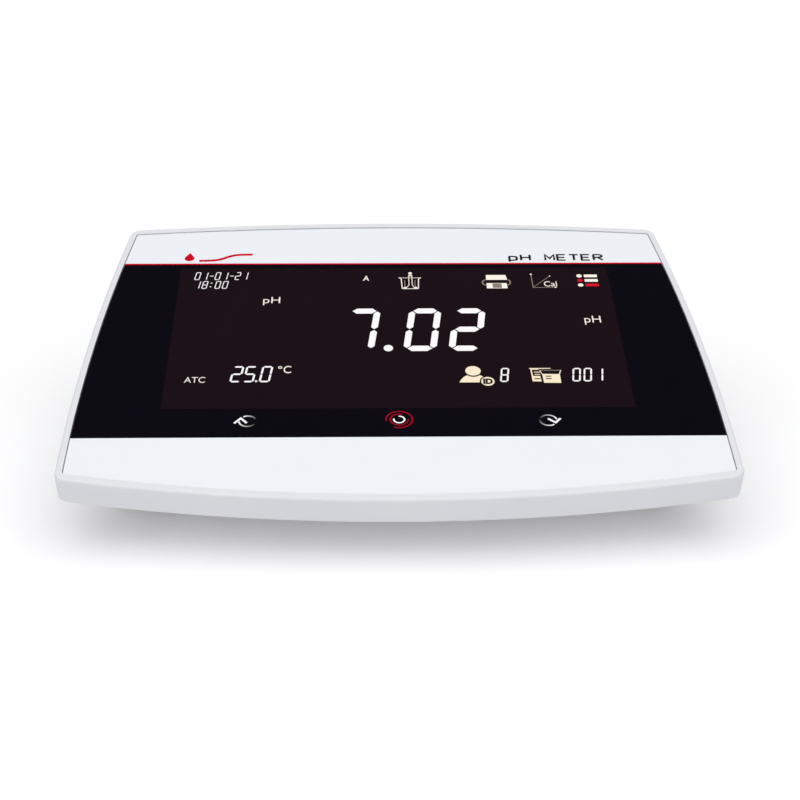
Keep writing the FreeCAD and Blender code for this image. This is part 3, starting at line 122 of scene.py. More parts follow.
# White ABS, satin: light spreads softly and the grain only breaks up the highlights.
cover_abs, tree, shader, place = new_finish("white moulded ABS", ior=1.53)
grain(tree, shader, place, ("#D8D9DE", "#DDDEE2"), size=0.45 * MM, rough=(0.38, 0.5), depth=0.012 * MM)
paint(cover_abs, "top_cover")


# ---- Base shell, seal and screws ---------------------------------------------------------------------
# The base is a moulded ABS tray, a shade greyer than the cover, with the bosses that take the case screws.
# A foam cord in its rim keeps splashes out, and the screws are zinc-plated steel with cross recesses.
# Pale grey ABS, moulded: satin like the cover, with a coarser grain that makes it look a little duller.
base_abs, tree, shader, place = new_finish("pale grey moulded ABS", ior=1.53)
grain(tree, shader, place, ("#D2D2D7", "#D8D8DC"), size=0.6 * MM, rough=(0.42, 0.56), depth=0.02 * MM)
paint(base_abs, "bottom_case")

# Closed-cell foam rubber: dull and dark, with pores of about a third of a millimetre, each painted darker
# towards its middle as painted shade in the pit.
seal_foam, tree, shader, place = new_finish("EPDM foam rubber", ior=1.5)
pores = add_node(tree, "ShaderNodeTexVoronoi", {"Vector": place, "Scale": 1 / (0.35 * MM)})
# The colour follows the pore depth: painted shade, darker in the middle of each pit.
tone = add_node(tree, "ShaderNodeValToRGB", {"Fac": pores.outputs["Distance"]})
tone.color_ramp.elements[0].color = colour("#1B1B1D")
tone.color_ramp.elements[1].color = colour("#303033")
tree.links.new(tone.outputs["Color"], shader.inputs["Base Color"])
shader.inputs["Roughness"].default_value = 0.92
dent = add_node(tree, "ShaderNodeBump", {"Height": pores.outputs["Distance"], "Strength": 0.6,
                                         "Distance": 0.1 * MM})
tree.links.new(dent.outputs["Normal"], shader.inputs["Normal"])
paint(seal_foam, "case_seal")

# Bright zinc plate: a cold grey metal with a faint cloudy tone from the plating bath.
zinc, tree, shader, place = new_finish("zinc-plated steel", metallic=1.0)
grain(tree, shader, place, ("#A9ACB0", "#B9BBBE"), size=0.3 * MM, rough=(0.28, 0.42), depth=0.004 * MM)
paint(zinc, "case_screws", "display_board_screws", "main_board_screws")


# ---- Feet and rating plate ---------------------------------------------------------------------------
# Four rubber discs with rounded soles, moulded and stuck into recesses of the base, and a foil plate
# stuck into a shallow pocket between them. Its print, a border and empty lines, is made further on.
# Moulded rubber: matt black with a soft, uneven skin and hardly any highlight.
foot_rubber, tree, shader, place = new_finish("moulded black rubber", ior=1.52)
grain(tree, shader, place, ("#161617", "#1F1F20"), size=0.4 * MM, rough=(0.7, 0.88), depth=0.05 * MM)
paint(foot_rubber, "foot_front_left", "foot_front_right", "foot_rear_left", "foot_rear_right")

# Polyester foil with a brushed silver print: fine streaks along its length.
plate_foil, tree, shader, place = new_finish("brushed polyester foil", metallic=0.35, ior=1.57)
streak_length = 14 * MM
streak_width = 0.25 * MM
stretched = add_node(tree, "ShaderNodeMapping", {
    "Vector": place, "Scale": (1 / streak_length, 1 / streak_width, 1.0)}).outputs["Vector"]
streaks = add_node(tree, "ShaderNodeTexNoise", {"Vector": stretched, "Scale": 1.0, "Detail": 4.0})
tone = add_node(tree, "ShaderNodeValToRGB", {"Fac": streaks.outputs["Fac"]})
tone.color_ramp.elements[0].color = colour("#A9ABAF")
tone.color_ramp.elements[1].color = colour("#CFD1D4")
tree.links.new(tone.outputs["Color"], shader.inputs["Base Color"])
shader.inputs["Roughness"].default_value = 0.38
paint(plate_foil, "rating_plate")


# ---- Main board and what stands on it ----------------------------------------------------------------
# A glass-epoxy board under green solder resist, with the processor, its small parts, the screen can over
# the input stage, the clock cell, the power parts and the beeper. All are soldered or clipped in place.
# Solder resist over copper: glossy green, with lighter, slightly raised tracks in long rows.
resist, tree, shader, place = new_finish("green solder resist on glass epoxy", roughness=0.32, ior=1.5)
track_pitch = 2.54 * MM
tracks = add_node(tree, "ShaderNodeTexBrick", {"Vector": place, "Scale": 1.0, "Brick Width": 6 * track_pitch,
                                               "Row Height": track_pitch, "Mortar Size": 0.12 * track_pitch,
                                               "Mortar Smooth": 0.1})
tracks.inputs["Color1"].default_value = colour("#0F5A33")
tracks.inputs["Color2"].default_value = colour("#11633A")
tracks.inputs["Mortar"].default_value = colour("#1B8250")
tree.links.new(tracks.outputs["Color"], shader.inputs["Base Color"])
copper_thickness = 0.035 * MM
raised = add_node(tree, "ShaderNodeBump", {"Height": tracks.outputs["Fac"], "Strength": 0.5,
                                           "Distance": copper_thickness})
tree.links.new(raised.outputs["Normal"], shader.inputs["Normal"])
paint(resist, "main_board", "display_board", "backlight_leds")

# Moulding epoxy: near black, with the dull speckle of its glass filler.
epoxy, tree, shader, place = new_finish("black moulding epoxy", ior=1.55)
grain(tree, shader, place, ("#141416", "#1E1E20"), size=0.2 * MM, rough=(0.5, 0.7), depth=0.02 * MM)
paint(epoxy, "main_processor", "board_parts", "display_drivers")

# Tinned sheet: soft bright grey with the large spangle of frozen tin.
tin, tree, shader, place = new_finish("tinned steel sheet", metallic=1.0)
grain(tree, shader, place, ("#B6B8B9", "#C9CACA"), size=0.8 * MM, rough=(0.22, 0.4), depth=0.01 * MM)
paint(tin, "input_shield")

# Rolled stainless steel of the clock cell, and the hard wire of the touch springs.
stainless, tree, shader, place = new_finish("rolled stainless steel", metallic=1.0)
grain(tree, shader, place, ("#AEB0B2", "#BCBDBE"), size=0.15 * MM, rough=(0.2, 0.3), depth=0.003 * MM)
paint(stainless, "clock_cell", "touch_springs")

# Black nylon of the holders and the beeper's case, moulded with a light texture.
black_nylon, tree, shader, place = new_finish("black moulded nylon", ior=1.53)
grain(tree, shader, place, ("#121213", "#19191B"), size=0.3 * MM, rough=(0.4, 0.55), depth=0.015 * MM)
paint(black_nylon, "clock_cell_holder", "beeper", "lcd_frame")

# Drawn aluminium cans of the power capacitors.
can_aluminium, tree, shader, place = new_finish("drawn aluminium", metallic=1.0)
grain(tree, shader, place, ("#B4B7BB", "#C6C8CB"), size=0.25 * MM, rough=(0.25, 0.38), depth=0.005 * MM)
paint(can_aluminium, "power_capacitors")

# Sintered ferrite of the power inductor: matt charcoal, slightly granular.
ferrite, tree, shader, place = new_finish("sintered ferrite", ior=1.6)
grain(tree, shader, place, ("#232325", "#303033"), size=0.25 * MM, rough=(0.6, 0.8), depth=0.03 * MM)
paint(ferrite, "power_inductor")

# Natural nylon of the two ribbon sockets and of the tongues in the data sockets.
white_nylon, tree, shader, place = new_finish("natural moulded nylon", ior=1.53)
grain(tree, shader, place, ("#D9D6CB", "#E2E0D6"), size=0.3 * MM, rough=(0.35, 0.5), depth=0.01 * MM)
paint(white_nylon, "ribbon_socket_upper", "ribbon_socket_lower", "usb_device_tongue", "usb_host_tongue")

# Flat cable: grey PVC with rounded ridges along it, drawn wider apart than its conductors. Its grey is
# painted lighter on the ridge tops and darker in the grooves, as painted highlight and painted shade.
ribbon_pvc, tree, shader, place = new_finish("grey PVC flat cable", ior=1.53)
WAVE_TURN = 20                 # radians by which a wave texture of scale 1 turns in one metre
ridge_spacing = 6.2832 * MM
ridges = add_node(tree, "ShaderNodeTexWave", {
    "Vector": place, "Scale": 2 * math.pi / (WAVE_TURN * ridge_spacing), "Distortion": 0.0},
    bands_direction="X")
# Painted highlight on the ridge tops and painted shade in the grooves, following the relief.
tone = add_node(tree, "ShaderNodeValToRGB", {"Fac": ridges.outputs["Fac"]})
tone.color_ramp.elements[0].color = colour("#9C9C98")
tone.color_ramp.elements[1].color = colour("#C4C4BF")
tree.links.new(tone.outputs["Color"], shader.inputs["Base Color"])
shader.inputs["Roughness"].default_value = 0.5
ridge_relief = add_node(tree, "ShaderNodeBump", {"Height": ridges.outputs["Fac"], "Strength": 0.8,
                                                 "Distance": 0.2 * MM})
tree.links.new(ridge_relief.outputs["Normal"], shader.inputs["Normal"])
paint(ribbon_pvc, "display_ribbon")

# Black PVC sleeve of the electrode lead and the sensor leads: a slightly greasy sheen.
lead_pvc, tree, shader, place = new_finish("black PVC sleeve", ior=1.54)
grain(tree, shader, place, ("#0E0E0F", "#161617"), size=0.5 * MM, rough=(0.35, 0.5), depth=0.02 * MM)
paint(lead_pvc, "bnc_coax_lead", "sensor_leads")


# ---- Display stack under the panel -------------------------------------------------------------------
# Liquid-crystal glass in a black frame, over a clear light guide with a printed dot pattern, and the
# double-sided foam tape round it that holds the front panel. The glass is dark where it is unlit; its
# lit bars and signs have sections of their own.
# Polished glass over a polariser: almost black, with a faint brown cloud.
lcd, tree, shader, place = new_finish("liquid-crystal glass", roughness=0.08, ior=1.52)
polariser = add_node(tree, "ShaderNodeTexNoise", {"Vector": place, "Scale": 1 / (9 * MM), "Detail": 1.0})
tone = add_node(tree, "ShaderNodeValToRGB", {"Fac": polariser.outputs["Fac"]})
tone.color_ramp.elements[0].color = colour("#120C10")
tone.color_ramp.elements[1].color = colour("#1C131A")
tree.links.new(tone.outputs["Color"], shader.inputs["Base Color"])
paint(lcd, "lcd_glass")

# Clear PMMA guide: pale, with a grid of white dots 0.9 mm apart that lets the light out.
guide, tree, shader, place = new_finish("PMMA light guide", roughness=0.2, ior=1.49)
dots = add_node(tree, "ShaderNodeTexVoronoi", {"Vector": place, "Scale": 1 / (0.9 * MM), "Randomness": 0.0})
tone = add_node(tree, "ShaderNodeValToRGB", {"Fac": dots.outputs["Distance"]})
tone.color_ramp.elements[0].position = 0.28
tone.color_ramp.elements[0].color = colour("#FAFAFA")
tone.color_ramp.elements[1].position = 0.34
tone.color_ramp.elements[1].color = colour("#D8DCDF")
tree.links.new(tone.outputs["Color"], shader.inputs["Base Color"])
paint(guide, "lcd_backlight")

# Foam tape: black, open-pored edge with a paper-dull face.
tape_foam, tree, shader, place = new_finish("black foam tape", ior=1.5)
grain(tree, shader, place, ("#151516", "#222224"), size=0.3 * MM, rough=(0.85, 0.95), depth=0.06 * MM)
paint(tape_foam, "panel_tape")


# ---- Front panel -------------------------------------------------------------------------------------
# One clear acrylic sheet, 1.8 mm thick, cut to the bowed outline and laid on tape in the cover's recess.
# It is screen printed: white all over, a black band with a red line along its top, and within the band
# a window of smoked, unprinted sheet over the display. The printed face is under gloss.
deck_tilt = math.radians(15.0)
sheet_thickness = 1.8 * MM
sheet_bevel = 0.2 * MM
band_bottom = -54.35 * MM
band_top = 57.6 * MM
red_line_top = 58.5 * MM
window_side = 84.9 * MM
window_bottom = -37.7 * MM
window_top = 54.9 * MM

sheet_low, sheet_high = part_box("front_panel")
across = Vector((1.0, 0.0, 0.0))
up_slope = Vector((0.0, math.cos(deck_tilt), math.sin(deck_tilt)))
outward = across.cross(up_slope)
on_panel = Matrix((across, up_slope, outward)).transposed().to_4x4()
on_panel.translation = (sheet_low + sheet_high) / 2 + outward * sheet_thickness / 2


def print_under_gloss(name, codes, roughness=0.1):
    """Ink on the back of clear sheet: an almost even colour under polished acrylic."""
    material, tree, shader, place = new_finish(name, roughness=roughness, ior=1.49)
    ink = add_node(tree, "ShaderNodeTexNoise", {"Vector": place, "Scale": 1 / (18 * MM), "Detail": 3.0})
    tone = add_node(tree, "ShaderNodeMix", {"Factor": ink.outputs["Fac"]}, data_type="RGBA")
    tone.inputs[MIX_FROM].default_value = colour(codes[0])
    tone.inputs[MIX_TO].default_value = colour(codes[1])
    tree.links.new(tone.outputs[MIX_RESULT], shader.inputs["Base Color"])
    # The sheet is pressed against its tape, so the gloss shows a very slow wave, 40 mm long.
    wave = add_node(tree, "ShaderNodeTexNoise", {"Vector": place, "Scale": 1 / (40 * MM), "Detail": 0.0})
    flow = add_node(tree, "ShaderNodeBump", {"Height": wave.outputs["Fac"], "Strength": 0.15,
                                             "Distance": 0.2 * MM})
    tree.links.new(flow.outputs["Normal"], shader.inputs["Normal"])
    return material


# Screen prints under polished acrylic: clean, flat colours with one glossy skin over all of them.
white_print = print_under_gloss("white print under acrylic", ("#E6E9EE", "#E8EBF0"))
black_print = print_under_gloss("black print under acrylic", ("#09070F", "#0B0811"))
red_print = print_under_gloss("red print under acrylic", ("#C4061F", "#CC0822"))
smoked = print_under_gloss("smoked acrylic window", ("#180D13", "#1A0F15"))


def new_piece(name, mesh, body):
    """A finished piece at the origin, riding on a body."""
    piece = bpy.data.objects.new(name, mesh)
    bpy.context.scene.collection.objects.link(piece)
    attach(piece, body)
    return piece


sheet = bmesh.new()
sheet.from_mesh(frame["nodes"]["front_panel"].data)
bmesh.ops.remove_doubles(sheet, verts=sheet.verts, dist=0.001 * MM)
bmesh.ops.transform(sheet, matrix=on_panel.inverted(), verts=sheet.verts)
bmesh.ops.dissolve_limit(sheet, angle_limit=math.radians(0.2), verts=sheet.verts, edges=sheet.edges)
face_rim = [edge for edge in sheet.edges if all(abs(v.co.z) < 0.01 * MM for v in edge.verts)]
bmesh.ops.bevel(sheet, geom=face_rim, offset=sheet_bevel, segments=2, affect="EDGES", profile=0.5)
for along, at in ((1, band_bottom), (1, band_top), (1, red_line_top), (1, window_bottom), (1, window_top),
                  (0, -window_side), (0, window_side)):
    point = Vector((0.0, 0.0, 0.0))
    point[along] = at
    normal = Vector((0.0, 0.0, 0.0))
    normal[along] = 1.0
    bmesh.ops.bisect_plane(sheet, geom=sheet.verts[:] + sheet.edges[:] + sheet.faces[:], plane_co=point,
                           plane_no=normal, dist=0.0005 * MM)
for face in sheet.faces:
    face.smooth = False
    spot = face.calc_center_median()
    in_window = abs(spot.x) < window_side and window_bottom < spot.y < window_top
    if in_window and face.normal.z > 0.9:
        face.material_index = 3
    elif band_bottom < spot.y < band_top:
        face.material_index = 1
    elif band_top < spot.y < red_line_top:
        face.material_index = 2
bmesh.ops.transform(sheet, matrix=on_panel, verts=sheet.verts)
sheet_mesh = bpy.data.meshes.new("printed_panel")
sheet.to_mesh(sheet_mesh)
sheet.free()
for ink in (white_print, black_print, red_print, smoked):
    sheet_mesh.materials.append(ink)
printed_panel = new_piece("printed_panel", sheet_mesh, "root")
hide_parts("front_panel")


# ---- Lit digits --------------------------------------------------------------------------------------
# Seven-bar digits of the liquid-crystal glass, lit white from behind: the reading, its temperature,
# the date and time, and the user and sample numbers. They slope to the right, and each bar is a long
# hexagon with pointed ends, so that neighbours meet with a hairline between them.
digit_slant = 0.112
bar_height = 0.02 * MM
lit_bars = {"0": "abcdef", "1": "bc", "2": "abged", "5": "afgcd", "7": "abc", "8": "abcdefg", "-": "g"}

# Lit liquid crystal: a nearly even white that shines by itself.
lit_white, tree, shader, place = new_finish("lit white liquid crystal", base_color=colour("#1A1418"),
                                            roughness=0.3, ior=1.49, emission_strength=1.0)
lamp = add_node(tree, "ShaderNodeTexNoise", {"Vector": place, "Scale": 1 / (25 * MM), "Detail": 1.0})
glow = add_node(tree, "ShaderNodeMix", {"Factor": lamp.outputs["Fac"]}, data_type="RGBA")
glow.inputs[MIX_FROM].default_value = colour("#FBF9FA")
glow.inputs[MIX_TO].default_value = colour("#FFFDFD")
tree.links.new(glow.outputs[MIX_RESULT], shader.inputs["Emission Color"])


def bar_tree():
    """Geometry Nodes: each point of a mesh becomes one lying or upright bar, sloped and raised."""
    tree = bpy.data.node_groups.new("display bars", "GeometryNodeTree")
    tree.interface.new_socket("Points", in_out="INPUT", socket_type="NodeSocketGeometry")
    for name in ("Lying length", "Lying width", "Upright length", "Upright width", "Slant", "Height"):
        tree.interface.new_socket(name, in_out="INPUT", socket_type="NodeSocketFloat")
    tree.interface.new_socket("Material", in_out="INPUT", socket_type="NodeSocketMaterial")
    tree.interface.new_socket("Bars", in_out="OUTPUT", socket_type="NodeSocketGeometry")
    given = add_node(tree, "NodeGroupInput").outputs
    at = add_node(tree, "GeometryNodeInputPosition").outputs["Position"]
    corner = add_node(tree, "ShaderNodeSeparateXYZ", {0: at}).outputs

    def maths(kind, *values):
        return add_node(tree, "ShaderNodeMath", dict(enumerate(values)), operation=kind).outputs[0]

    def hexagon(length, width):
        """A hexagon drawn out to a bar of one length and width."""
        ring = add_node(tree, "GeometryNodeMeshCircle", {"Vertices": 6, "Radius": 1.0}, fill_type="NGON")
        reach = maths("SUBTRACT", maths("MULTIPLY", length, 0.5), width)
        x = maths("MULTIPLY_ADD", corner["X"], width, maths("MULTIPLY", maths("SIGN", corner["X"]), reach))
        y = maths("MULTIPLY", corner["Y"], maths("DIVIDE", width, 2 * math.sin(math.radians(60))))
        moved = add_node(tree, "ShaderNodeCombineXYZ", {"X": x, "Y": y}).outputs[0]
        return add_node(tree, "GeometryNodeSetPosition", {"Geometry": ring.outputs["Mesh"],
                                                          "Position": moved}).outputs[0]

    lying = hexagon(given["Lying length"], given["Lying width"])
    standing = hexagon(given["Upright length"], given["Upright width"])
    turned = add_node(tree, "GeometryNodeTransform", {"Geometry": standing,
                                                      "Rotation": (0.0, 0.0, math.radians(90))}).outputs[0]
    upright = add_node(tree, "GeometryNodeInputNamedAttribute", {"Name": "upright"},
                       data_type="BOOLEAN").outputs[0]
    level = add_node(tree, "FunctionNodeBooleanMath", {0: upright}, operation="NOT").outputs[0]
    placed = [add_node(tree, "GeometryNodeInstanceOnPoints", {"Points": given["Points"], "Selection": chosen,
                                                              "Instance": bar}).outputs[0]
              for chosen, bar in ((level, lying), (upright, turned))]
    both = add_node(tree, "GeometryNodeJoinGeometry")
    for part in placed:
        tree.links.new(part, both.inputs[0])
    flat = add_node(tree, "GeometryNodeRealizeInstances", {"Geometry": both.outputs[0]}).outputs[0]
    shift = maths("MULTIPLY", corner["Y"], given["Slant"])
    lean = add_node(tree, "ShaderNodeCombineXYZ", {"X": shift}).outputs[0]
    sloped = add_node(tree, "GeometryNodeSetPosition", {"Geometry": flat, "Offset": lean}).outputs[0]
    raised = add_node(tree, "GeometryNodeExtrudeMesh", {"Mesh": sloped, "Offset Scale": given["Height"],
                                                        "Individual": False}).outputs["Mesh"]
    under = add_node(tree, "GeometryNodeFlipFaces", {"Mesh": sloped}).outputs[0]
    closed = add_node(tree, "GeometryNodeJoinGeometry")
    tree.links.new(raised, closed.inputs[0])
    tree.links.new(under, closed.inputs[0])
    welded = add_node(tree, "GeometryNodeMergeByDistance", {"Geometry": closed.outputs[0],
                                                            "Distance": 0.002 * MM}).outputs[0]
    real = add_node(tree, "GeometryNodeRealizeInstances", {"Geometry": welded}).outputs[0]
    inked = add_node(tree, "GeometryNodeSetMaterial", {"Geometry": real,
                                                       "Material": given["Material"]}).outputs[0]
    add_node(tree, "NodeGroupOutput", {"Bars": inked})
    return tree


def grown(points, tree, **values):
    """The plain mesh that a Geometry Nodes tree makes from a mesh of points."""
    carrier = bpy.data.objects.new("carrier", points)
    bpy.context.scene.collection.objects.link(carrier)
    modifier = carrier.modifiers.new("grow", "NODES")
    modifier.node_group = tree
    for item in tree.interface.items_tree:
        if item.in_out == "INPUT" and item.name in values:
            modifier[item.identifier] = values[item.name]
    mesh = bpy.data.meshes.new_from_object(carrier.evaluated_get(bpy.context.evaluated_depsgraph_get()))
    carrier.modifiers.remove(modifier)
    bpy.data.objects.remove(carrier)
    return mesh


display_bars = bar_tree()


def oval(x, y, half_width, half_height, steps=28):
    """Corners of an ellipse, in mm, anticlockwise."""
    angles = [2 * math.pi * i / steps for i in range(steps)]
    return [(x + half_width * math.cos(a), y + half_height * math.sin(a)) for a in angles]


def add_prism(shape, outline, height, lift=0.0):
    """Adds a closed flat prism over an anticlockwise outline in mm."""
    low = [shape.verts.new((x * MM, y * MM, lift)) for x, y in outline]
    high = [shape.verts.new((x * MM, y * MM, lift + height)) for x, y in outline]
    count = len(outline)
    faces = [shape.faces.new(high), shape.faces.new(low[::-1])]
    for i in range(count):
        after = (i + 1) % count
        faces.append(shape.faces.new((low[i], low[after], high[after], high[i])))
    return faces


def readout(name, characters, base, width, height, bars, gap, dots=()):
    """A row of digits, in mm: each character with the left of its cell, and the base of the row.

    bars holds the widths of a lying and an upright bar, and dots the ovals of points and colons.
    """
    lying_width, upright_width = bars
    places = {"a": (width / 2, height, 0), "b": (width, 0.75 * height, 1), "c": (width, 0.25 * height, 1),
              "d": (width / 2, 0.0, 0), "e": (0.0, 0.25 * height, 1), "f": (0.0, 0.75 * height, 1),
              "g": (width / 2, height / 2, 0)}
    spots = [(left + places[bar][0], places[bar][1], places[bar][2])
             for digit, left in characters for bar in lit_bars[digit]]
    points = bpy.data.meshes.new(name + "_points")
    points.from_pydata([(x * MM, y * MM, 0.0) for x, y, _ in spots], [], [])
    stands = points.attributes.new("upright", "BOOLEAN", "POINT")
    stands.data.foreach_set("value", [bool(up) for _, _, up in spots])
    mesh = grown(points, display_bars, **{
        "Lying length": (width - 2 * gap) * MM, "Lying width": lying_width * MM,
        "Upright length": (height / 2 - 2 * gap) * MM, "Upright width": upright_width * MM,
        "Slant": digit_slant, "Height": bar_height, "Material": lit_white})
    mesh.transform(Matrix.Translation((0.0, base * MM, 0.0)))
    if dots:
        shape = bmesh.new()
        shape.from_mesh(mesh)
        for x, y, half_width, half_height in dots:
            add_prism(shape, oval(x, y, half_width, half_height), bar_height)
        shape.to_mesh(mesh)
        shape.free()
    mesh.transform(on_panel)
    mesh.name = name
    return new_piece(name, mesh, "root")


main_first = -19.77
main_pitch = 17.0
main_point_gap = 6.4
main_second = main_first + main_pitch + main_point_gap
readout("readout_main", [("7", main_first), ("0", main_second), ("2", main_second + main_pitch)], base=-0.83,
        width=9.95, height=25.0, bars=(3.4, 2.5), gap=0.34, dots=[(-3.18, -0.62, 1.76, 2.07)])
readout("readout_temperature", [("2", -61.07), ("5", -56.27), ("0", -50.4)], base=-21.36,
        width=3.31, height=9.09, bars=(0.9, 0.72), gap=0.1, dots=[(-51.7, -21.2, 0.42, 0.55)])

small_pitch = 2.88
dash_pitch = 2.17
dash_shift = 0.2
date_left = -79.06
date_cells = []
for character in "01-01-21":
    is_dash = character == "-"
    date_cells.append((character, date_left - dash_shift if is_dash else date_left))
    date_left += dash_pitch if is_dash else small_pitch
small_bars = (0.44, 0.35)
readout("readout_date", date_cells, base=46.68, width=1.72, height=5.1, bars=small_bars, gap=0.05)
readout("readout_time", [("1", -78.77), ("8", -75.83), ("0", -70.74), ("0", -67.86)], base=40.35,
        width=1.72, height=5.03, bars=small_bars, gap=0.05,
        dots=[(-72.45, 41.6, 0.3, 0.36), (-72.15, 44.2, 0.3, 0.36)])
number_bars = (0.74, 0.62)
readout("readout_user", [("8", 37.55)], base=-21.85, width=2.45, height=7.95, bars=number_bars, gap=0.07)
readout("readout_sample", [("0", 64.05), ("0", 68.15), ("1", 72.3)], base=-21.7, width=2.45, height=7.65,
        bars=number_bars, gap=0.07)


# ---- Lit words and signs -----------------------------------------------------------------------------
# Fixed signs of the same glass: the unit, the mode letters and small pictures of a beaker, a printer,
# a calibration curve, a list, a user and two folders. Most are lit cream, two parts of the list red.
sign_height = 0.02 * MM
over_sign = 0.03 * MM


def lit(name, code):
    """Liquid crystal lit through a colour print; the lamp behind is a little uneven."""
    material, tree, shader, place = new_finish(name, base_color=colour("#1A1418"), roughness=0.3, ior=1.49,
                                               emission_strength=0.97)
    lamp = add_node(tree, "ShaderNodeTexNoise", {"Vector": place, "Scale": 1 / (12 * MM), "Detail": 1.0})
    glow = add_node(tree, "ShaderNodeHueSaturation", {"Value": 1.0, "Color": colour(code)})
    even = add_node(tree, "ShaderNodeMapRange", {"Value": lamp.outputs["Fac"], "To Min": 0.93,
                                                 "To Max": 1.04})
    tree.links.new(even.outputs["Result"], glow.inputs["Value"])
    tree.links.new(glow.outputs["Color"], shader.inputs["Emission Color"])
    return material


# Lit signs: cream, ivory and red, and a dull brown where a part of a sign is only half lit.
lit_cream = lit("lit cream liquid crystal", "#FFEFD0")
lit_ivory = lit("lit ivory liquid crystal", "#FFFAEC")
lit_red = lit("lit red liquid crystal", "#DA0420")
lit_dim = lit("dimly lit liquid crystal", "#8E8076")
unlit = print_under_gloss("unlit liquid crystal", ("#150D12", "#1A1116"))


def lettering(text, frame_box, weight=0.0, lean=0.0, thickness=sign_height):
    """A mesh of one word that fills the box (left, right, bottom, top) in mm, lying on z = 0."""
    left, right, bottom, top = frame_box
    curve = bpy.data.curves.new("word", "FONT")
    curve.body = text
    curve.size = 1.0
    curve.offset = weight
    curve.resolution_u = 6
    curve.extrude = 0.5
    carrier = bpy.data.objects.new("word", curve)
    bpy.context.scene.collection.objects.link(carrier)
    mesh = bpy.data.meshes.new_from_object(carrier.evaluated_get(bpy.context.evaluated_depsgraph_get()))
    bpy.data.objects.remove(carrier)
    xs = [v.co.x for v in mesh.vertices]
    ys = [v.co.y for v in mesh.vertices]
    wide = (right - left - lean * (top - bottom)) / (max(xs) - min(xs))
    tall = (top - bottom) / (max(ys) - min(ys))
    for v in mesh.vertices:
        y = (v.co.y - min(ys)) * tall
        x = left + (v.co.x - min(xs)) * wide + lean * y
        v.co = (x * MM, (bottom + y) * MM, thickness if v.co.z > 0 else 0.0)
    shape = bmesh.new()
    shape.from_mesh(mesh)
    bmesh.ops.remove_doubles(shape, verts=shape.verts, dist=0.0005 * MM)
    bmesh.ops.recalc_face_normals(shape, faces=shape.faces)
    shape.to_mesh(mesh)
    shape.free()
    return mesh


def stroke(points, width):
    """Outline of a line through the points, in mm, of one width, with its corners mitred."""
    longest_mitre = 1.8
    left, right = [], []
    headings = [(Vector(b) - Vector(a)).normalized() for a, b in zip(points, points[1:])]
    for i, point in enumerate(points):
        after = headings[min(i, len(headings) - 1)]
        along = (headings[max(i - 1, 0)] + after).normalized()
        half = width / 2 * min(1 / max(along.dot(after), 0.1), longest_mitre)
        side = Vector((-along.y, along.x)) * half
        left.append(tuple(Vector(point) + side))
        right.append(tuple(Vector(point) - side))
    return right + left[::-1]


def arc(x, y, radius, start, end, steps=40):
    """Points along an arc, in mm and degrees."""
    angles = [math.radians(start + (end - start) * i / steps) for i in range(steps + 1)]
    return [(x + radius * math.cos(a), y + radius * math.sin(a)) for a in angles]


def sign(name, layers, words=(), placing=on_panel):
    """A printed or lit piece: layers are (material, lift, outlines), words are (material, lift, mesh)."""
    shape = bmesh.new()
    materials = []
    for material, lift, outlines in layers:
        if material not in materials:
            materials.append(material)
        for outline in outlines:
            for face in add_prism(shape, outline, sign_height, lift):
                face.material_index = materials.index(material)
    for material, lift, word in words:
        if material not in materials:
            materials.append(material)
        word.transform(Matrix.Translation((0.0, 0.0, lift)))
        before = len(shape.faces)
        shape.from_mesh(word)
        shape.faces.ensure_lookup_table()
        for face in shape.faces[before:]:
            face.material_index = materials.index(material)
    bmesh.ops.transform(shape, matrix=placing, verts=shape.verts)
    mesh = bpy.data.meshes.new(name)
    shape.to_mesh(mesh)
    shape.free()
    for material in materials:
        mesh.materials.append(material)
    return new_piece(name, mesh, "root")


sign("sign_unit_small", [], [(lit_ivory, 0.0, lettering("pH", (-51.3, -44.75, 28.5, 34.1), weight=-0.004))])
sign("sign_unit_large", [], [(lit_ivory, 0.0, lettering("pH", (72.3, 78.61, 14.5, 20.4), weight=-0.004))])
sign("sign_auto", [],
     [(lit_ivory, 0.0, lettering("A", (-12.55, -10.0, 45.6, 49.2), weight=0.01, lean=0.05))])
sign("sign_compensation", [],
     [(lit_ivory, 0.0, lettering("ATC", (-77.9, -70.3, -22.0, -18.5), weight=-0.006))])
sign("sign_degrees", [(lit_ivory, 0.0, [stroke(arc(-43.2, -12.7, 0.6, 0, 350, 20), 0.38)])],
     [(lit_ivory, 0.0, lettering("C", (-41.9, -39.12, -16.27, -11.76)))])

# A beaker with an electrode standing in it.
sign("sign_beaker", [
    (lit_ivory, 0.0, [
        stroke([(1.6, 47.8), (2.6, 46.9), (2.85, 40.1), (3.2, 39.8), (8.9, 39.8), (9.25, 40.1), (9.45, 46.9),
                (10.4, 47.8)], 0.4),
        stroke([(1.8, 47.6), (10.3, 47.6)], 0.25),
        stroke([(5.6, 49.2), (5.6, 42.4), (4.7, 40.8)], 0.3),
        stroke([(6.85, 49.2), (6.85, 42.6), (7.5, 40.8)], 0.3),
        oval(6.22, 50.8, 0.75, 0.95, 16), oval(6.22, 49.2, 0.85, 0.4, 16), oval(4.0, 40.5, 0.7, 0.6, 16),
        oval(8.2, 40.5, 0.7, 0.6, 16)]),
    (lit_dim, 0.0, [stroke([(3.95, 46.0), (3.95, 41.6)], 0.35), stroke([(8.0, 46.0), (8.0, 41.6)], 0.3)])])
sign("sign_printer", [
    (lit_ivory, 0.0, [[(36.2, 46.0), (44.6, 46.0), (44.1, 49.5), (36.3, 49.5)],
                      [(36.2, 39.9), (44.4, 39.9), (44.2, 43.6), (36.2, 43.6)]]),
    (lit_dim, 0.0, [stroke([(36.0, 46.0), (35.1, 45.5), (34.6, 44.3), (34.9, 42.9), (35.9, 42.0)], 0.6),
                    stroke([(44.9, 46.0), (45.5, 45.5), (45.7, 44.3), (45.4, 42.9), (44.6, 42.2)], 0.55)]),
    (lit_dim, over_sign, [[(38.6, 40.2), (42.2, 40.2), (42.1, 43.3), (38.5, 43.3)]])])
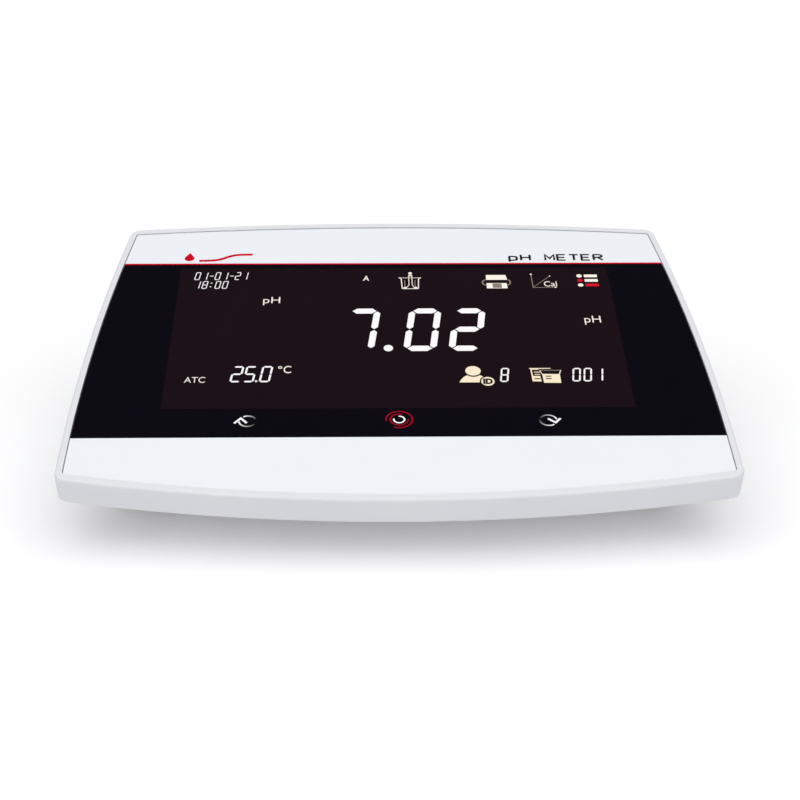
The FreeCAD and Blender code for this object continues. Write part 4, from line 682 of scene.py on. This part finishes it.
sign("sign_curve", [
    (lit_dim, 0.0, [stroke([(54.45, 40.3), (54.3, 49.9)], 0.36), stroke([(54.6, 40.4), (63.4, 40.4)], 0.3),
                    stroke([(54.7, 40.8), (61.7, 48.7)], 0.26)]),
    (lit_ivory, over_sign, [oval(54.27, 49.9, 0.42, 0.5, 12), oval(63.3, 40.4, 0.45, 0.35, 12),
                            oval(61.6, 48.6, 0.28, 0.35, 12)])],
    [(lit_ivory, over_sign, lettering("Cal", (58.9, 64.0, 41.1, 44.8)))])
menu_rows = ((48.7, lit_ivory, lit_ivory), (45.4, lit_red, lit_ivory), (42.1, lit_ivory, lit_red))
row_left, row_right, row_half = 75.3, 80.5, 0.95
sign("sign_list", [(dot_colour, 0.0, [oval(73.4, row, 1.1, 1.15, 16)]) for row, dot_colour, _ in menu_rows]
     + [(bar_colour, 0.0, [[(row_left, row - row_half), (row_right, row - row_half),
                            (row_right, row + row_half), (row_left, row + row_half)]])
        for row, _, bar_colour in menu_rows])
shoulders = [(22.4, -22.4), (31.6, -22.4), (31.6, -19.4), (30.6, -18.3), (29.0, -17.6), (26.0, -17.6),
             (24.2, -19.0), (23.1, -20.7)]
sign("sign_user", [(lit_cream, 0.0, [shoulders]),
                   (unlit, over_sign, [oval(27.73, -15.34, 3.3, 3.7), oval(32.8, -21.9, 3.0, 3.3)]),
                   (lit_cream, 2 * over_sign, [oval(27.73, -15.34, 2.85, 2.95),
                                               oval(32.8, -21.9, 2.45, 2.7)])],
     [(unlit, 3 * over_sign, lettering("ID", (31.1, 34.6, -23.6, -20.2), weight=0.06))])
sign("sign_folders", [
    (lit_cream, 0.0, [[(49.2, -21.9), (54.6, -22.1), (54.6, -14.2), (48.9, -14.2)],
                      stroke([(48.5, -13.9), (56.4, -13.9)], 0.45)]),
    (unlit, over_sign, [[(49.6, -18.6), (53.4, -18.6), (53.2, -14.8), (49.4, -14.8)],
                        stroke([(50.0, -20.4), (52.2, -20.4)], 0.6),
                        [(52.6, -23.4), (60.3, -23.4), (60.6, -14.3), (51.9, -14.3)]]),
    (lit_cream, 2 * over_sign, [[(53.3, -22.9), (59.6, -23.0), (59.5, -17.6), (53.0, -17.4)],
                                stroke([(50.1, -16.3), (52.3, -16.3)], 0.45),
                                stroke([(50.2, -17.7), (52.3, -17.7)], 0.4),
                                stroke([(52.3, -15.1), (53.0, -17.4)], 0.3),
                                stroke([(60.1, -15.1), (59.3, -17.7)], 0.35)]),
    (lit_dim, 2 * over_sign, [stroke([(52.5, -15.2), (60.0, -15.2)], 0.35)]),
    (unlit, 3 * over_sign, [stroke([(54.2, -18.9), (56.3, -18.9)], 0.55),
                            stroke([(54.2, -20.4), (56.3, -20.4)], 0.55)])])


# ---- Key marks and headings --------------------------------------------------------------------------
# Three touch keys are only printed on the sheet: two arrows with fading rings beside them, and a power
# sign of one white and two red broken rings. A plain heading at each end of the white strip above.
mark_height = 0.012 * MM
# Screen prints of the marks and headings: flat inks under the same gloss.
white_ink = print_under_gloss("white key print", ("#F4F4F6", "#FAFAFB"))
ring_red = print_under_gloss("dark red key print", ("#98071F", "#A00A22"))
grey_ink = print_under_gloss("dark grey heading print", ("#1C1C20", "#232328"))

# White ink that thins out to nothing along a ring: the mesh carries how much ink there is.
ring_width = 0.62
chevron_width = 0.85
fade_power = 1.3
fading_ink, tree, shader, place = new_finish("fading white key print", roughness=0.3, ior=1.49)
strength = add_node(tree, "ShaderNodeAttribute", attribute_name="ink").outputs["Fac"]
tone = add_node(tree, "ShaderNodeMix", {"Factor": strength}, data_type="RGBA")
tone.inputs[MIX_FROM].default_value = colour("#0B0910")
tone.inputs[MIX_TO].default_value = colour("#F8F8FA")
tree.links.new(tone.outputs[MIX_RESULT], shader.inputs["Base Color"])


def fading_arc(shape, layer, x, y, radius, start, end, steps=30):
    """Adds an arc of short prisms whose ink runs from full at start to none at end."""
    for i in range(steps):
        a = start + (end - start) * i / steps
        b = start + (end - start) * (i + 1) / steps
        outline = stroke(arc(x, y, radius, a, b, 1), ring_width)
        if end < start:
            outline = outline[::-1]
        for face in add_prism(shape, outline, mark_height):
            for vert in face.verts:
                vert[layer] = (1.0 - i / steps) ** fade_power


def arrow_key(name, ring, chevron, arcs):
    """A chevron and the fading arcs of one ring (x, y, radius) beside it."""
    shape = bmesh.new()
    layer = shape.verts.layers.float.new("ink")
    for start, end in arcs:
        fading_arc(shape, layer, *ring, start, end)
    for face in add_prism(shape, stroke(chevron, chevron_width), mark_height):
        for vert in face.verts:
            vert[layer] = 1.0
    bmesh.ops.transform(shape, matrix=on_panel, verts=shape.verts)
    bmesh.ops.recalc_face_normals(shape, faces=shape.faces)
    mesh = bpy.data.meshes.new(name)
    shape.to_mesh(mesh)
    shape.free()
    mesh.materials.append(fading_ink)
    return new_piece(name, mesh, "root")


arrow_key("key_up_mark", (-53.6, -45.0, 3.0), [(-58.28, -46.2), (-56.06, -43.3), (-53.87, -46.05)],
          [(122, 20), (185, 330)])
arrow_key("key_down_mark", (52.9, -45.2, 3.0), [(52.83, -44.23), (55.35, -46.56), (57.27, -44.1)],
          [(12, 160), (-52, -190)])
power_key = (0.0, -44.4)
sign("key_power_mark", [
    (white_ink, 0.0, [stroke(arc(*power_key, 1.9, 165, 455), ring_width)]),
    (ring_red, 0.0, [stroke(arc(*power_key, 3.2, 70, 365), 0.5),
                     stroke(arc(*power_key, 4.7, 245, 550), 0.55)])])

# A red drop beside a titration curve, and the instrument's plain name.
drop_x, drop_y = -82.2, 62.3
drop_tip = 66.4
drop_radius = 2.0
drop = [(drop_x, drop_tip)] + arc(drop_x, drop_y, drop_radius, 30, -210, 24)
curve_left, curve_right, curve_low, curve_rise = -78.2, -57.0, 60.5, 4.6
curve_width = 1.5
curve_steps = 32
curve_steepness = 12
titration = []
for i in range(curve_steps + 1):
    along = i / curve_steps
    level = 1 / (1 + math.exp(curve_steepness * (0.5 - along)))
    titration.append((curve_left + (curve_right - curve_left) * along, curve_low + curve_rise * level))
sign("heading_left", [(red_print, 0.0, [drop[::-1], stroke(titration, curve_width)])])

# The name in strokes: a letter is a list of lines in a cell one wide and one high.
round_side = [(0.5, 1.0), (0.85, 0.93), (0.95, 0.76), (0.85, 0.57), (0.5, 0.5)]
letter_lines = {
    "p": [[(0.05, -0.25), (0.05, 0.7)],
          [(0.0, 0.7), (0.5, 0.7), (0.85, 0.6), (0.9, 0.35), (0.85, 0.1), (0.5, 0.0), (0.0, 0.0)]],
    "H": [[(0.0, 0.0), (0.0, 1.0)], [(1.0, 0.0), (1.0, 1.0)], [(0.0, 0.5), (1.0, 0.5)]],
    "M": [[(0.0, 0.0), (0.0, 1.0), (0.5, 0.3), (1.0, 1.0), (1.0, 0.0)]],
    "E": [[(0.9, 1.0), (0.0, 1.0), (0.0, 0.0), (0.9, 0.0)], [(0.0, 0.5), (0.8, 0.5)]],
    "T": [[(0.0, 1.0), (1.0, 1.0)], [(0.5, 0.0), (0.5, 1.0)]],
    "R": [[(0.0, 0.0), (0.0, 1.0)], [(0.0, 1.0)] + round_side + [(0.0, 0.5)], [(0.45, 0.5), (1.0, 0.0)]]}
letter_width, letter_height, letter_pitch, letter_stroke = 3.55, 4.1, 4.9, 0.95
name_left, name_base = 46.4, 60.4
name_lines = []
for cell, letter in enumerate("pH METER"):
    for line in letter_lines.get(letter, []):
        name_lines.append(stroke([(name_left + cell * letter_pitch + x * letter_width,
                                   name_base + y * letter_height) for x, y in line], letter_stroke))
sign("heading_right", [(grey_ink, 0.0, name_lines)])


# ---- Print on the rating plate -----------------------------------------------------------------------
# A black border and four empty lines, screen printed on the foil plate that is stuck under the base.
# The print is read from below, so it is laid on the plate's lower face and turned over.
# Screen print on foil: flat black, a little shiny, against the brushed silver.
plate_ink = print_under_gloss("black plate print", ("#17171A", "#1E1E21"), roughness=0.45)
plate_low, plate_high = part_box("rating_plate")
under_plate = Matrix(((-1.0, 0.0, 0.0, (plate_low.x + plate_high.x) / 2),
                      (0.0, 1.0, 0.0, (plate_low.y + plate_high.y) / 2),
                      (0.0, 0.0, -1.0, plate_low.z), (0.0, 0.0, 0.0, 1.0)))
border_inset = 2.5
border_width = 0.4
border_x = (plate_high.x - plate_low.x) / 2 / MM - border_inset
border_y = (plate_high.y - plate_low.y) / 2 / MM - border_inset
rule_end = border_x - 4.0
rule_width = 0.25
plate_lines = []
for side in (-1, 1):
    plate_lines.append(stroke([(-border_x, side * border_y), (border_x, side * border_y)], border_width))
for side in (-1, 1):
    plate_lines.append(stroke([(side * border_x, -border_y), (side * border_x, border_y)], border_width))
for level in (-7.5, -2.5, 2.5, 7.5):
    plate_lines.append(stroke([(-rule_end, level), (rule_end, level)], rule_width))
sign("plate_print", [(plate_ink, 0.0, plate_lines)], placing=under_plate)


# ---- Rear panel and its legends ----------------------------------------------------------------------
# A dark moulded ABS insert screwed behind the opening of the base; the sockets are fixed in it.
# Short legends are pad printed above the sockets in white.
# Dark ABS, moulded with a spark-eroded texture: a dull near-black that breaks up the highlights.
rear_abs, tree, shader, place = new_finish("dark moulded ABS", ior=1.53)
grain(tree, shader, place, ("#1F1F22", "#27272A"), size=0.6 * MM, rough=(0.5, 0.66), depth=0.03 * MM)
paint(rear_abs, "rear_panel")

# Pad print: a flat off-white, duller than the panel.
legend_ink = print_under_gloss("white pad print", ("#D0D0D2", "#DADADC"), roughness=0.55)
rear_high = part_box("rear_panel")[1]
on_rear = Matrix(((-1.0, 0.0, 0.0, 0.0), (0.0, 0.0, 1.0, rear_high.y),
                  (0.0, 1.0, 0.0, 0.0), (0.0, 0.0, 0.0, 1.0)))
legend_height = 2.2
# Each word with the socket below it, its width and its height above that socket.
legends = (("pH", "bnc_shell", 4.0, 2.6), ("TEMP", "temperature_shell", 8.0, 2.2),
           ("REF", "reference_body", 5.6, 2.2), ("12 V", "power_jack_body", 6.4, 2.2),
           ("DATA", "serial_shell", 7.6, 1.6))
for word, node, width, clear in legends:
    low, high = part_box(node)
    middle = -(low.x + high.x) / 2 / MM
    foot = high.z / MM + clear
    word_box = (middle - width / 2, middle + width / 2, foot, foot + legend_height)
    mesh = lettering(word, word_box, weight=0.01, thickness=mark_height)
    mesh.transform(on_rear)
    mesh.materials.append(legend_ink)
    new_piece("legend_" + word.replace(" ", "").lower(), mesh, "root")


# ---- Sockets and the shorting cap --------------------------------------------------------------------
# Turned brass shells plated with nickel, white PTFE insulators, gold contacts and pressed nickel shells
# round the data sockets. The cap for the electrode socket is turned too, and its ring is knurled.
# Turned nickel plate: a warm, bright metal with faint rings along its length.
nickel, tree, shader, place = new_finish("nickel-plated brass, turned", metallic=1.0)
ring_spacing = 1.3823 * MM        # wider than the marks that a lathe leaves
rings = add_node(tree, "ShaderNodeTexWave", {
    "Vector": place, "Scale": 2 * math.pi / (WAVE_TURN * ring_spacing), "Distortion": 0.6},
    bands_direction="Y")
tone = add_node(tree, "ShaderNodeMix", {"Factor": rings.outputs["Fac"]}, data_type="RGBA")
tone.inputs[MIX_FROM].default_value = colour("#B7B3AA")
tone.inputs[MIX_TO].default_value = colour("#C9C5BD")
tree.links.new(tone.outputs[MIX_RESULT], shader.inputs["Base Color"])
polish = add_node(tree, "ShaderNodeMapRange", {"Value": rings.outputs["Fac"], "To Min": 0.18, "To Max": 0.3})
tree.links.new(polish.outputs["Result"], shader.inputs["Roughness"])
feed_marks = add_node(tree, "ShaderNodeBump", {"Height": rings.outputs["Fac"], "Strength": 0.25,
                                               "Distance": 0.01 * MM})
tree.links.new(feed_marks.outputs["Normal"], shader.inputs["Normal"])
paint(nickel, "bnc_shell", "bnc_nut", "short_cap_core", "short_cap_ring", "temperature_shell",
      "temperature_nut", "reference_sleeve", "reference_nut", "power_jack_pin", "usb_device_shell",
      "usb_host_shell", "serial_shell", "serial_jackscrews")

# PTFE: waxy white, lets a little light in.
ptfe, tree, shader, place = new_finish("white PTFE", ior=1.38)
grain(tree, shader, place, ("#E6E5E0", "#EDECE8"), size=0.3 * MM, rough=(0.4, 0.5), depth=0.006 * MM)
paint(ptfe, "bnc_insulator", "temperature_insulator")

# Gold flash over nickel: warm, slightly worn where a plug rubs.
gold, tree, shader, place = new_finish("gold-plated contact", metallic=1.0)
grain(tree, shader, place, ("#D9AE55", "#E2BC6A"), size=0.2 * MM, rough=(0.18, 0.3), depth=0.004 * MM)
paint(gold, "bnc_contact", "temperature_contact", "serial_pins")

# Black polyester of the moulded socket bodies, harder and glossier than the nylon inside.
socket_plastic, tree, shader, place = new_finish("black moulded polyester", ior=1.57)
grain(tree, shader, place, ("#101011", "#171718"), size=0.35 * MM, rough=(0.28, 0.42), depth=0.012 * MM)
paint(socket_plastic, "reference_body", "power_jack_body", "serial_insert")


# ---- Port cover --------------------------------------------------------------------------------------
# A flap of silicone rubber over the two data sockets, moulded in one with its fixed strap: the two
# are joined by a thin web that bends, and grip ribs stand on the flap's outer face.
# Silicone rubber, moulded: a soft, dull grey without a sharp highlight.
silicone, tree, shader, place = new_finish("grey silicone rubber", ior=1.41)
grain(tree, shader, place, ("#4A4B50", "#55565B"), size=0.4 * MM, rough=(0.62, 0.78), depth=0.02 * MM)
paint(silicone, "port_cover", "port_cover_strap")

flap_low, flap_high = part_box("port_cover")
strap_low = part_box("port_cover_strap")[0]
hinge = next(joint for joint in frame["joints"] if joint["name"] == "port_cover_hinge")
hinge_y, hinge_z = hinge["pos_m"][1], hinge["pos_m"][2]
web_thickness = 0.6 * MM
web_inset = 0.8 * MM
web = bmesh.new()
rungs = 6
columns = 24
web_low = hinge_z - 0.2 * MM          # the web reaches a little into the flap and the strap
web_top = strap_low.z + 0.4 * MM
corner_rows = []
for side in (-0.5, 0.5):
    for i in range(rungs + 1):
        z = web_low + (web_top - web_low) * i / rungs
        corner_rows.append([web.verts.new((
            flap_low.x + web_inset + (flap_high.x - flap_low.x - 2 * web_inset) * j / columns,
            hinge_y + side * web_thickness, z)) for j in range(columns + 1)])
back, front = corner_rows[:rungs + 1], corner_rows[rungs + 1:]
for i in range(rungs):
    for j in range(columns):
        web.faces.new((back[i][j], back[i][j + 1], back[i + 1][j + 1], back[i + 1][j]))
        web.faces.new((front[i][j + 1], front[i][j], front[i + 1][j], front[i + 1][j + 1]))
for j in range(columns):
    web.faces.new((back[0][j + 1], back[0][j], front[0][j], front[0][j + 1]))
    web.faces.new((back[rungs][j], back[rungs][j + 1], front[rungs][j + 1], front[rungs][j]))
for i in range(rungs):
    web.faces.new((back[i][0], back[i + 1][0], front[i + 1][0], front[i][0]))
    web.faces.new((back[i + 1][columns], back[i][columns], front[i][columns], front[i + 1][columns]))
web_mesh = bpy.data.meshes.new("port_cover_web")
web.to_mesh(web_mesh)
web.free()
web_mesh.materials.append(silicone)
port_cover_web = bpy.data.objects.new("port_cover_web", web_mesh)
bpy.context.scene.collection.objects.link(port_cover_web)
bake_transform(port_cover_web)


def rib_tree():
    """Geometry Nodes: round-ended ribs, one above the other, each a ball drawn out to its length."""
    tree = bpy.data.node_groups.new("grip ribs", "GeometryNodeTree")
    for name in ("Count", "Pitch", "Length", "Radius"):
        kind = "NodeSocketInt" if name == "Count" else "NodeSocketFloat"
        tree.interface.new_socket(name, in_out="INPUT", socket_type=kind)
    tree.interface.new_socket("Material", in_out="INPUT", socket_type="NodeSocketMaterial")
    tree.interface.new_socket("Ribs", in_out="OUTPUT", socket_type="NodeSocketGeometry")
    given = add_node(tree, "NodeGroupInput").outputs
    step = add_node(tree, "ShaderNodeCombineXYZ", {"Z": given["Pitch"]}).outputs[0]
    row = add_node(tree, "GeometryNodeMeshLine", {"Count": given["Count"], "Offset": step}).outputs[0]
    ball = add_node(tree, "GeometryNodeMeshUVSphere", {"Segments": 20, "Rings": 12,
                                                       "Radius": given["Radius"]}).outputs["Mesh"]
    lying = add_node(tree, "GeometryNodeTransform", {"Geometry": ball,
                                                     "Rotation": (0.0, math.radians(90), 0.0)}).outputs[0]
    at = add_node(tree, "GeometryNodeInputPosition").outputs["Position"]
    x = add_node(tree, "ShaderNodeSeparateXYZ", {0: at}).outputs["X"]
    side = add_node(tree, "ShaderNodeMath", {0: x}, operation="SIGN").outputs[0]
    reach = add_node(tree, "ShaderNodeMath", {0: given["Length"], 1: 0.5}, operation="MULTIPLY").outputs[0]
    shift = add_node(tree, "ShaderNodeMath", {0: side, 1: reach}, operation="MULTIPLY").outputs[0]
    apart = add_node(tree, "ShaderNodeCombineXYZ", {"X": shift}).outputs[0]
    rib = add_node(tree, "GeometryNodeSetPosition", {"Geometry": lying, "Offset": apart}).outputs[0]
    placed = add_node(tree, "GeometryNodeInstanceOnPoints", {"Points": row, "Instance": rib}).outputs[0]
    real = add_node(tree, "GeometryNodeRealizeInstances", {"Geometry": placed}).outputs[0]
    inked = add_node(tree, "GeometryNodeSetMaterial", {"Geometry": real,
                                                       "Material": given["Material"]}).outputs[0]
    add_node(tree, "NodeGroupOutput", {"Ribs": inked})
    return tree


rib_count = 5
rib_pitch = 1.9 * MM
rib_length = 22.0 * MM
rib_radius = 0.6 * MM
first_rib = 12.6 * MM
anchor = bpy.data.meshes.new("rib_anchor")
rib_mesh = grown(anchor, rib_tree(), Count=rib_count, Pitch=rib_pitch, Length=rib_length, Radius=rib_radius,
                 Material=silicone)
rib_mesh.transform(Matrix.Translation(((flap_low.x + flap_high.x) / 2, flap_high.y, first_rib)))
rib_mesh.name = "port_cover_ribs"
new_piece("port_cover_ribs", rib_mesh, "port_flap")


# ---- Studio ------------------------------------------------------------------------------------------
# The meter stands on a plain white floor under one broad overhead light set a little to the front, with
# a weak light low in front and another low behind. The camera stands in front and looks down on the deck.
floor_mesh = bpy.data.meshes.new("floor")
floor_half = 12.0
floor_level = -0.2 * MM
floor_corners = [(-floor_half, -floor_half), (floor_half, -floor_half), (floor_half, floor_half),
                 (-floor_half, floor_half)]
floor_mesh.from_pydata([(x, y, floor_level) for x, y in floor_corners], [], [(0, 1, 2, 3)])
floor = bpy.data.objects.new("floor", floor_mesh)
bpy.context.scene.collection.objects.link(floor)
# Matt white paint with a little light of its own, so that the floor stays white right to its edges.
floor_paint, tree, shader, place = new_finish("white studio floor", base_color=colour("#E2E2E3"),
                                              roughness=1.0, emission_color=colour("#FFFFFF"),
                                              emission_strength=0.17)
floor_mesh.materials.append(floor_paint)

sky = bpy.data.lights.new("overhead", "SUN")
sky.energy = 3.5
sky.angle = math.radians(110)
overhead = bpy.data.objects.new("overhead", sky)
overhead.rotation_euler = Euler((math.radians(16), math.radians(-2), 0.0))
overhead.visible_glossy = False
bpy.context.scene.collection.objects.link(overhead)


def soft_box(name, place, target, size, power):
    """A square area light that faces its target."""
    lamp = bpy.data.lights.new(name, "AREA")
    lamp.shape = "RECTANGLE"
    lamp.size, lamp.size_y = size
    lamp.energy = power
    holder = bpy.data.objects.new(name, lamp)
    holder.location = place
    holder.rotation_mode = "QUATERNION"
    holder.rotation_quaternion = (Vector(target) - Vector(place)).to_track_quat("-Z", "Y")
    bpy.context.scene.collection.objects.link(holder)


soft_box("front_fill", (-0.3, -1.6, 0.45), (0.0, -0.1, 0.03), (1.4, 0.7), 0.1)
soft_box("rear_fill", (0.5, 1.7, 0.35), (0.0, 0.1, 0.03), (1.2, 0.5), 3.0)

world = bpy.data.worlds.new("studio")
world.use_nodes = True
bpy.context.scene.world = world
background = world.node_tree.nodes["Background"]
background.inputs["Color"].default_value = colour("#FFFFFF")
background.inputs["Strength"].default_value = 0.02

bpy.context.scene.view_settings.view_transform = "Standard"
bpy.context.scene.view_settings.look = "None"

lens = bpy.data.cameras.new("camera")
lens.lens = 78.4227
lens.sensor_width = 36.0
lens.clip_start = 0.01
lens.clip_end = 50.0
camera = bpy.data.objects.new("camera", lens)
camera.location = (-13.37 * MM, -614.98 * MM, 271.70 * MM)
camera.rotation_euler = Euler((math.radians(68.0464), math.radians(-0.2528), math.radians(-1.2669)))
bpy.context.scene.collection.objects.link(camera)
bpy.context.scene.camera = camera
